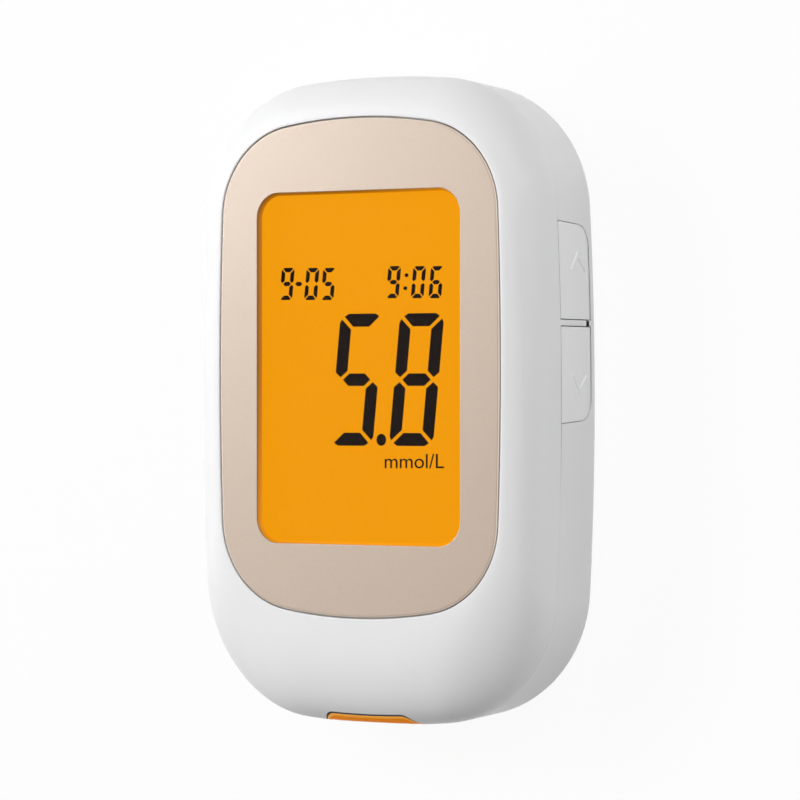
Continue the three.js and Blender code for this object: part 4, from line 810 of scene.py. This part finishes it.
# %% Back shell
HAIRLINE, KEY_OPENING, TRAY_ROUND, SKIN = 0.05, 0.08, 0.05, 0.4
OPENS_FROM, OPENS_OVER, OPEN_TO = -17, 13, 20
OUTER_TOP, INNER_TOP = 14.1, 14.0


def tray_top():
    """Height of the parting edge round the outline.

    The gap to the cover is 0.13 mm along the keys, where the side wall may give a little. It closes
    to 0.05 mm along a smooth step in Y below them, and is as narrow everywhere else."""
    x, y, _, _ = outline(BODY, ROUND)
    t = np.clip((y - OPENS_FROM) / OPENS_OVER, 0, 1)
    return COVER_EDGE - HAIRLINE - KEY_OPENING * t * t * (3 - 2 * t) * ((x > 0) & (y < OPEN_TO))


def tray_rings():
    """Outside from the flat back up to the parting edge, then down again just inside it."""
    turns = np.linspace(0, 1, 15) * math.pi / 2
    low = BACK_EDGE * (1 - np.cos(turns))
    top = tray_top()
    rings = [body_ring(z) for z in np.concatenate([low, np.linspace(BACK_EDGE, OUTER_TOP, 5)[1:]])]
    rings += [body_ring(top - TRAY_ROUND + u, i) for i, u in rounded(TRAY_ROUND)]
    rings += [body_ring(z, SKIN) for z in (top, *np.linspace(INNER_TOP, BACK_EDGE, 4))]
    rings += [body_ring(z + SKIN * math.cos(turn) * min(1.0, turn), SKIN * math.sin(turn))
              for z, turn in zip(low[-2:1:-2], turns[-2:1:-2])]
    return rings


KEYS = dict(low=-3.35, high=26.15, foot=4.95, taper=0.5 / 9.3, corner=3.2, sharp=0.2, gap=0.24)
HALF_BAR = KEY_BAR["half"] + KEY_BAR["gap"]
STRETCH = {"up": (KEY_BAR["y"] + HALF_BAR, KEYS["high"]), "down": (KEYS["low"], KEY_BAR["y"] - HALF_BAR)}
ABOVE, SIDE_CUT = 16.0, (27, 33)
BAR_CUT = dict(half=0.45, low=5.25)
# The cut walls on the key side that take the painted joint shade: how deep behind it they lie, and how far
# in, along and down they reach
JOINT_DEPTH, JOINT_X, JOINT_Y, JOINT_Z = (0.06, SKIN - 0.04), 25, 29, 4.7


def key_outline(which, margin, top):
    """One key's shape in Y and Z: upright at the bar, tapered with a large soft corner at its far end."""
    foot = KEYS["foot"] - margin
    taper = KEYS["taper"] * (top - foot)
    low, high = STRETCH[which]
    left, right = low - margin, high + margin
    far_left, far_right = which == "down", which == "up"
    corners = [(left, top), (left + taper * far_left, foot), (right - taper * far_right, foot), (right, top)]
    big, sharp = KEYS["corner"] + margin, KEYS["sharp"]
    radii = [sharp, big if far_left else sharp, big if far_right else sharp, sharp]
    return soft_polygon(corners, radii, corner_steps=12, side_steps=16)


tray = piece("rear_skin", [skin(tray_rings(), close="tyre")], shell_white)
bar_low, bar_high = KEY_BAR["y"] - BAR_CUT["half"], KEY_BAR["y"] + BAR_CUT["half"]
bar_shape = np.array([(bar_low, BAR_CUT["low"]), (bar_high, BAR_CUT["low"]), (bar_high, ABOVE),
                      (bar_low, ABOVE)])
tools = [cutter("key_tool_" + which, flat_x, key_outline(which, KEYS["gap"], ABOVE), *SIDE_CUT)
         for which in STRETCH]
tools += [cutter("bar_tool", flat_x, bar_shape, *SIDE_CUT),
          cutter("port_tool", flat_y, port_outline(REAR_PORT_GAP), *PORT_CUT)]
cut_out(tray, tools)
skin_points = triples(tray.data.vertices, "co") / MM
skin_faces = [list(face.vertices) for face in tray.data.polygons]
bpy.data.objects.remove(tray)
rear = piece("rear_shell_fine", [copy_of("rear_shell"), (skin_points, skin_faces)], shell_white,
             "housing", ["rear_shell"], crisp=28, turn_out=False)


def behind_side(points):
    """How far points lie behind the key side, in millimetres."""
    return side_x(points[:, 1], points[:, 2]) - points[:, 0]


middles = triples(rear.data.polygons, "center") / MM
depth = behind_side(middles)
# Painted shade: the cut walls down in the key side's joints get the dark grey.
painted_shade_walls = np.arange(len(middles)) >= len(middles) - len(skin_faces)
painted_shade_walls &= (depth > JOINT_DEPTH[0]) & (depth < JOINT_DEPTH[1])
painted_shade_walls &= (middles[:, 0] > JOINT_X) & (np.abs(middles[:, 1]) < JOINT_Y) & (middles[:, 2] > JOINT_Z)
second_finish(rear, [painted_joint_shade], painted_shade_walls)
print(f"back shell: {len(middles)} faces, {painted_shade_walls.sum()} of them in the joints of the key side")

# %% [markdown]
# ## Keys
#
# Each key's face follows the side of the body, a hair under it, so its surface is worked out from
# the same side arc. Rings run in from the edge to the middle, and the first few turn over the edge
# with a tiny radius. A chevron stands out of the face by less than the side leans in there. It is a
# skin of its own that closes like a zip along its middle line. Behind the face is a copy of the CAD
# key: its flange in the pocket and the post that pushes the switch. What lies more than 0.4 mm
# behind the side is painted a dark grey, painted shade that draws the dark line round each key.

# %% Keys
CHEVRON = dict(half=2.2, rise=2.6, stroke=1.2, foot=0.5, height=0.2, gentle=0.24, steep=0.05, root=0.3,
               from_bar=10.6, middle=8.5)
STAND_BACK, KEY_EDGE, KEY_TOP, KEY_BOTTOM, KEY_CORE, KEY_SHADE = 0.03, 0.05, 14.21, 29.2, 29.9, 0.4


def on_side(shape, out):
    """Points of a shape in Y and Z, laid on the side and lifted by `out`."""
    y, z = shape.T
    return np.stack([side_x(y, z) + out, y, z], axis=-1)


def key_face(which):
    """A closed cap: flat inside, straight skirt, rounded edge, and a face of shrinking rings."""
    rings = [flat_x(key_outline(which, 0.0, KEY_TOP), KEY_BOTTOM)]
    rings += [on_side(key_outline(which, -i, KEY_TOP - i), u - KEY_EDGE - STAND_BACK)
              for i, u in rounded(KEY_EDGE)]
    inner = key_outline(which, -KEY_EDGE, KEY_TOP - KEY_EDGE)
    middle = inner.mean(axis=0)
    rings += [on_side(middle + (inner - middle) * share, -STAND_BACK)
              for share in np.linspace(1, 0.01, 10)[1:]]
    return skin(rings)


def chevron_bead(which, steps=24):
    """A raised arrow head whose tip points away from the other key.

    Its outer line runs from one foot over the tip to the other, and its inner line runs back beside
    it. Each pair of partner points shares a point of the middle line, and the rings shrink from the
    two lines towards it: gently on the sides that look to the display, steeply on the others."""
    way = 1 if which == "up" else -1
    share = np.linspace(-1, 1, 2 * steps + 1)
    aside = np.abs(share)
    tip = KEY_BAR["y"] + way * CHEVRON["from_bar"]
    outer = np.stack([tip - way * CHEVRON["rise"] * aside, CHEVRON["middle"] + CHEVRON["half"] * share],
                     axis=-1)
    width = CHEVRON["stroke"] + (CHEVRON["foot"] - CHEVRON["stroke"]) * aside
    inner = outer - np.stack([way * width, 0 * width], axis=-1)
    edge = np.concatenate([outer, inner[::-1]])
    spine = np.concatenate([(outer + inner) / 2, (outer + inner)[::-1] / 2])
    inward = (spine - edge) / np.linalg.norm(spine - edge, axis=1, keepdims=True)
    slope = np.clip(0.5 - 2 * inward[:, 1:], 0, 1)
    bevelled = edge + inward * (CHEVRON["steep"] + (CHEVRON["gentle"] - CHEVRON["steep"]) * slope)
    root, top = -CHEVRON["root"], CHEVRON["height"] - STAND_BACK
    return skin([on_side(spine, root), on_side(edge, root), on_side(edge, -STAND_BACK),
                 on_side(bevelled, top), on_side(spine, top)], close="zip")


for which in ("up", "down"):
    name = "key_" + which
    parts = [key_face(which), chevron_bead(which), copy_of(name, KEY_CORE)]
    key = piece(name + "_fine", parts, key_white, name, [name], crisp=40)
    # Painted shade: what lies more than KEY_SHADE behind the side takes the dark grey.
    second_finish(key, [painted_joint_shade], behind_side(triples(key.data.polygons, "center") / MM) > KEY_SHADE)
print("keys made, chevrons", CHEVRON["half"] * 2, "mm wide")

# %% [markdown]
# ## Strip port
#
# The insert is moulded in orange so that the user finds where the strip goes. Its rim is flush with
# the housing, with a fine groove inside it, and its face stands a hair back, so that the rim catches
# the light and the groove draws a darker line. Rings run from the outside over the rim, through the
# groove, across the face, into the mouth and along the slot, and close on the inside.

# %% Strip port
SLOT_Z, PORT_REACH, PORT_BACK, SLOT_MOUTH = 12.6, -48.06, -43.4, -46.5
LIP_ROUND, FACE_BACK, FUNNEL_BACK = 0.06, 0.06, 0.2
MOUTH, FUNNEL, SLOT = (4.75, 1.4), (4.6, 1.3), (3.8, 0.6)
EAR_BACK = PORT_BACK - 1
# Pairs of inset and depth in millimetres: the rim's top, the groove inside it, and the face's edge
PORT_EDGE = [(0.2, 0), (0.3, 0), (0.38, 0.05), (0.44, 0.15), (0.58, 0.17), (0.68, 0.1), (0.8, FACE_BACK)]
EARS = np.array([(-9.7, 10.2), (9.7, 10.2), (9.7, 13.9), (-9.7, 13.9)])


def towards(shape, half_x, half_z):
    """The rectangle seen from the slot's middle in the same directions as the points of a shape."""
    ray = shape - (0, SLOT_Z)
    return (0, SLOT_Z) + ray / np.maximum(np.abs(ray[:, :1]) / half_x, np.abs(ray[:, 1:]) / half_z)


def on_end(shape, sink):
    """A shape in X and Z, laid on the lower end and sunk into it, but no further out than the reach."""
    x, z = shape.T
    return np.stack([x, np.maximum(end_y(x, z) + sink, PORT_REACH), z], axis=-1)


def port_rings():
    """The insert's section, ring by ring, from its hidden wall over the rim to the slot's far end."""
    rings = [flat_y(port_outline(0), PORT_BACK)]
    rings += [on_end(port_outline(-i), LIP_ROUND - u) for i, u in rounded(LIP_ROUND, 3)]
    rings += [on_end(port_outline(-inset), sink) for inset, sink in PORT_EDGE]
    inner = port_outline(-PORT_EDGE[-1][0])
    mouth, slot = towards(inner, *MOUTH), towards(inner, *SLOT)
    rings += [on_end(inner + (mouth - inner) * share, FACE_BACK) for share in (0.25, 0.5, 0.75, 1)]
    rings += [on_end(towards(inner, *FUNNEL), FUNNEL_BACK), flat_y(slot, SLOT_MOUTH), flat_y(slot, PORT_BACK)]
    return rings


ear_slot = towards(EARS, *SLOT)
ear_rings = [flat_y(EARS, EAR_BACK), flat_y(EARS, PORT_BACK), flat_y(ear_slot, PORT_BACK),
             flat_y(ear_slot, EAR_BACK)]
port = piece("strip_port_fine", [skin(port_rings(), close="tyre"), skin(ear_rings, close="tyre")],
             port_orange, "housing", ["strip_port"], crisp=38)
WALL_END, LIP_END, FACE_END = 1, 7, 16
# Bands of faces: painted shade on the hidden wall and in the slot, a painted highlight and glow on the lip.
band = np.arange(len(port.data.polygons)) // len(port_outline(0))
places = np.select([band < WALL_END, band < LIP_END, band < FACE_END], [2, 1, 0], 3)
second_finish(port, [port_lip_painted_highlight, painted_joint_shade, port_slot_painted_shade], places)
print("strip port faces on the face, lip, joint and slot:", np.bincount(places))

# %% [markdown]
# ## Camera
#
# The camera stands to the key side of the face's normal, level with the body's middle, and far off
# behind a long lens. It was fitted to points measured in the photograph. The same numbers turn a
# place in the picture into a place on the display, which is how the figures are laid out next.

# %% Camera
# The turn from the face's normal, the focal length in pixels, the distance in millimetres to the
# middle of the face, and where that middle lies in the picture, in pixels from the frame's centre
VIEW, FOCAL, DISTANCE, AIM = math.radians(33.0), 4023.5, 596.07, (43.19, 0.28)
FRAME, SENSOR = 800, 36.0
towards_camera = Vector((math.sin(VIEW), 0, math.cos(VIEW)))
picture_right = Vector((math.cos(VIEW), 0, -math.sin(VIEW)))
look = (-towards_camera + picture_right * AIM[0] / FOCAL + Vector((0, 1, 0)) * AIM[1] / FOCAL).normalized()
side = look.cross(Vector((0, 1, 0))).normalized()
over = side.cross(look)
camera = put("camera", bpy.data.cameras.new("camera"))
camera.data.lens, camera.data.sensor_width = FOCAL * SENSOR / FRAME, SENSOR
camera.data.clip_end = 20.0
turn = Matrix((side, over, -look)).transposed().to_4x4()
camera.matrix_world = Matrix.Translation(Vector((0, 0, FACE * MM)) + towards_camera * DISTANCE * MM) @ turn
bpy.context.scene.camera = camera


def on_level(px, py, z):
    """The place at height z that the picture shows at px, py, from the camera's two equations."""
    c, s, low = math.cos(VIEW), math.sin(VIEW), z - FACE
    u = (np.asarray(px, float) - FRAME / 2 + AIM[0]) / FOCAL
    x = (u * (DISTANCE - low * c) + low * s) / (c + u * s)
    far = DISTANCE - x * s - low * c
    return x, -(np.asarray(py, float) - FRAME / 2 - AIM[1]) * far / FOCAL


print("lens", round(camera.data.lens, 2), "mm")

# %% [markdown]
# ## Figures of the display
#
# A liquid-crystal figure is seven dark bars with mitred ends and thin gaps between them, leaning a
# few degrees. One function gives the six corners of each bar in a cell of one by one, and every
# figure maps that cell onto its own place. The bars are plates 0.03 mm thick, just over the sheet.

# %% Seven-segment figures
SHEET, PLATE_LOW, PLATE_HIGH = 17.8, 17.81, 17.84
LIT_BARS = {"0": "abcdef", "5": "acdfg", "6": "acdefg", "8": "abcdefg", "9": "abcdfg"}
SLANT = 0.086


def bar_corners(which, wide, high, sx, sy):
    """Six corners of a bar in an upright cell, x from its left and y down from its top.

    The top bar is a trapezoid with cut outer corners, the middle bar a hexagon and the upper left
    bar a leaning blade. The other bars are these three, turned over left to right or top to bottom.
    sx and sy are the thicknesses of an upright and of a level bar."""
    if which in "ad":
        left = [(0.37 * sx, 0.22 * sy), (0.72 * sx, 0), (1.17 * sx, sy)]
        x, y = np.array([left[0], left[1], (wide - 0.72 * sx, 0), (wide - 0.37 * sx, 0.22 * sy),
                         (wide - 1.17 * sx, sy), left[2]]).T
    elif which == "g":
        near, far, half = 0.68 * sx, 1.19 * sx, 0.48 * sy
        x = np.array([near, far, wide - far, wide - near, wide - far, far])
        y = high / 2 + half * np.array([0, -1, -1, 0, 1, 1])
    else:
        x = sx * np.array([0.15, 0, 0, 0.45, 1, 1])
        y = np.array([0.43 * sy, 0.73 * sy, high / 2 - 0.57 * sy, high / 2 - 0.19 * sy, high / 2 - 0.68 * sy,
                      1.22 * sy])
    x = wide - x if which in "bc" else x
    y = high - y if which in "dec" else y
    return np.stack([x, y], axis=-1)


def figure(text, left, top, bottom, wide, sx, sy):
    """Corner arrays (bars, 6, 2) on the sheet, in millimetres.

    left, top and bottom are the place of the figure's foot and head in the picture. The cell is set
    down by its lower left corner and then drawn to the picture's scale there, so that its level bars
    stay level on the sheet."""
    tall = bottom - top
    x, y = np.moveaxis(np.array([bar_corners(b, wide, tall, sx, sy) for b in LIT_BARS[text]]), -1, 0)
    x0, y0 = on_level(left, bottom, SHEET)
    x1, y1 = on_level(left + wide, top, SHEET)
    across, up = (x1 - x0) / wide, (y1 - y0) / tall
    return np.stack([x0 + across * (x + SLANT * (tall - y)), y0 + up * (tall - y)], axis=-1)


def plates(shapes):
    """Thin plates from flat shapes on the sheet."""
    return [skin([ring_at(PLATE_LOW, *shape.T), ring_at(PLATE_HIGH, *shape.T)]) for shape in shapes]


def dot(px, py, reach_x, reach_y, count=24):
    """An ellipse, from its middle and reach in the picture."""
    turn = np.linspace(0, 2 * math.pi, count, endpoint=False)
    return np.stack(on_level(px + reach_x * np.cos(turn), py + reach_y * np.sin(turn), SHEET), axis=-1)


SMALL, LARGE, SMALL_DOT = (12.7, 3.7, 4.5), (11.6, 13.0), 1.95
SMALL_TALL, DATE_TOP, TIME_TOP = 32.35, 267.8, 265.95
DASH = np.array([(295.4, 284.0), (297.0, 281.9), (300.7, 281.9), (302.3, 284.0), (300.7, 286.1),
                 (297.0, 286.1)])
shapes = []
for text, left, top in (("9", 279.4, DATE_TOP), ("0", 304.1, DATE_TOP), ("5", 320.7, DATE_TOP),
                        ("9", 385.8, TIME_TOP), ("0", 410.8, TIME_TOP), ("6", 428.45, TIME_TOP)):
    shapes += list(figure(text, left, top, top + SMALL_TALL, *SMALL))
shapes += [np.stack(on_level(*DASH.T, SHEET), axis=-1)]
shapes += [dot(*middle, SMALL_DOT, SMALL_DOT) for middle in ((406.6, 275.2), (405.4, 288.2))]
shapes += list(figure("5", 329.6, 313.5, 445.5, 43.0, *LARGE))
shapes += list(figure("8", 389.0, 313.0, 445.8, 44.0, *LARGE))
shapes += [dot(381.4, 439.8, 4.8, 6.0)]
piece("display_figures", plates(shapes), figure_dark, "housing")
print(f"{len(shapes)} bars and dots")

# %% [markdown]
# ## Unit under the reading
#
# The unit is set in Blender's own plain face. A text object is made a mesh at once, and its points
# are then laid over the place that the picture gives, between the same heights as the bars.

# %% Unit under the reading
unit_curve = bpy.data.curves.new("display_unit", "FONT")
unit_curve.body, unit_curve.align_x = "mmol/L", "LEFT"
unit_curve.extrude, unit_curve.size = 0.012, 1.0
UNIT_LEFT, UNIT_WIDE, UNIT_FOOT, UNIT_TALL = 384.7, 59.1, 468.4, 14.6
unit_text = put("display_unit_text", unit_curve)
bpy.context.view_layer.update()
unit_mesh = bpy.data.meshes.new_from_object(unit_text.evaluated_get(bpy.context.evaluated_depsgraph_get()))
bpy.data.objects.remove(unit_text)
place = triples(unit_mesh.vertices, "co")
low, high = place.min(axis=0), place.max(axis=0)
share = (place - low) / (high - low)
x, y = on_level(UNIT_LEFT + share[:, 0] * UNIT_WIDE, UNIT_FOOT - share[:, 1] * UNIT_TALL, PLATE_HIGH)
z = PLATE_LOW + (PLATE_HIGH - PLATE_LOW) * share[:, 2]
unit_mesh.vertices.foreach_set("co", (np.stack([x, y, z], axis=-1) * MM).ravel())
unit_mesh.update()
unit = put("display_unit", unit_mesh)
wear(unit, figure_dark)
settle(unit, "housing", [])
print("unit", round(float(np.ptp(x)), 2), "mm wide")

# %% [markdown]
# ## Studio
#
# The photograph has a white ground and soft light from all round, brightest at the left and top, so
# that the key side and the lower end are a little darker. Eight large soft lamps stand round the
# meter. A small one is near it on the left, and another lies low at the key side. Their strengths
# were solved from the brightness of some forty places in the picture. The floor keeps the soft
# shadow. It looks white to the camera, and in glossy and clear surfaces, by its own colour and a
# share of glow that only their rays see, so no more light has to fall on the object. It lies a tenth
# of a millimetre under the meter and is clear from below, so that the back can be looked at too.

# %% Floor and world
GLOW_SHARE, AMBIENT, FLOOR, REACH = 0.93, 0.015, -0.0001, 3.0
floor_mesh = bpy.data.meshes.new("studio_floor")
corners = [(x * REACH, y * REACH, FLOOR) for x, y in ((-1, -1), (1, -1), (1, 1), (-1, 1))]
floor_mesh.from_pydata(corners, [], [(0, 1, 2, 3)])
floor = put("studio_floor", floor_mesh)
paper = Finish("studio_paper", Roughness=0.9, Specular_IOR_Level=0.1)
paper.cloudy(paper.noise(0.2), srgb(240, 240, 240), srgb(243, 243, 243))
glow = paper.node("ShaderNodeEmission", None, {"Color": (1, 1, 1), "Strength": 1.0})
seen = paper.node("ShaderNodeLightPath", out="Is Camera Ray")
for kind in ("Is Glossy Ray", "Is Transmission Ray"):
    seen = seen + paper.node("ShaderNodeLightPath", out=kind)
mixed = paper.node("ShaderNodeMixShader", None, {
    0: seen.math("MINIMUM", 1.0) * GLOW_SHARE, 1: Wire(paper, paper.shader.outputs[0]), 2: glow})
from_below = paper.node("ShaderNodeNewGeometry", out="Backfacing")
clear = paper.node("ShaderNodeBsdfTransparent")
one_way = paper.node("ShaderNodeMixShader", None, {0: from_below, 1: mixed, 2: clear})
paper.tree.links.new(one_way.socket, paper.tree.nodes["Material Output"].inputs["Surface"])
floor.data.materials.append(paper.material)

world = bpy.data.worlds.new("studio_world")
bpy.context.scene.world = world
world.use_nodes = True
tree = world.node_tree
rays = tree.nodes.new("ShaderNodeLightPath")
seen = [tree.nodes.new("ShaderNodeMath") for _ in range(2)]
for step, first in zip(seen, (rays.outputs["Is Camera Ray"], seen[0].outputs[0])):
    step.operation = "MAXIMUM"
    tree.links.new(first, step.inputs[0])
tree.links.new(rays.outputs["Is Glossy Ray"], seen[0].inputs[1])
tree.links.new(rays.outputs["Is Transmission Ray"], seen[1].inputs[1])
strength = tree.nodes.new("ShaderNodeMapRange")
strength.inputs["To Min"].default_value, strength.inputs["To Max"].default_value = AMBIENT, 1.0
tree.links.new(seen[1].outputs[0], strength.inputs["Value"])
tree.nodes["Background"].inputs["Color"].default_value = (1, 1, 1, 1)
tree.links.new(strength.outputs["Result"], tree.nodes["Background"].inputs["Strength"])
print("floor and world ready")

# %% Lamps
MIDDLE = Vector((0, 0, 0.01))


def lamp(name, place, size, power):
    """A square soft light that looks at the meter."""
    light = bpy.data.lights.new(name, "AREA")
    light.shape, light.size, light.energy = "SQUARE", size, power
    made = put(name, light)
    made.location = place
    made.rotation_euler = (MIDDLE - Vector(place)).to_track_quat("-Z", "Y").to_euler()


# Name, place and size in metres, and power in watts
LAMPS = [
    ("left_near", (-0.3, 0.1, 0.32), 0.12, 0.52), ("left_high", (-0.425, 0.425, 0.6), 0.45, 1.0),
    ("left_middle", (-0.6, 0.0, 0.6), 0.45, 0.82), ("left_upper_end", (-0.64, 0.37, 0.425), 0.45, 1.54),
    ("left_lower_end", (-0.69, -0.25, 0.425), 0.45, 0.38), ("left_low", (-0.82, 0.0, 0.22), 0.45, 1.08),
    ("overhead", (0.29, 0.0, 0.8), 0.45, 1.17), ("right_high", (0.425, 0.425, 0.6), 0.45, 1.09),
    ("right_low", (0.69, 0.25, 0.425), 0.45, 1.64), ("right_ground", (0.8, 0.0, 0.05), 0.09, 0.1),
]
for each in LAMPS:
    lamp(*each)
bpy.context.scene.view_settings.view_transform = "Standard"
print(f"studio with {len(LAMPS)} lamps")
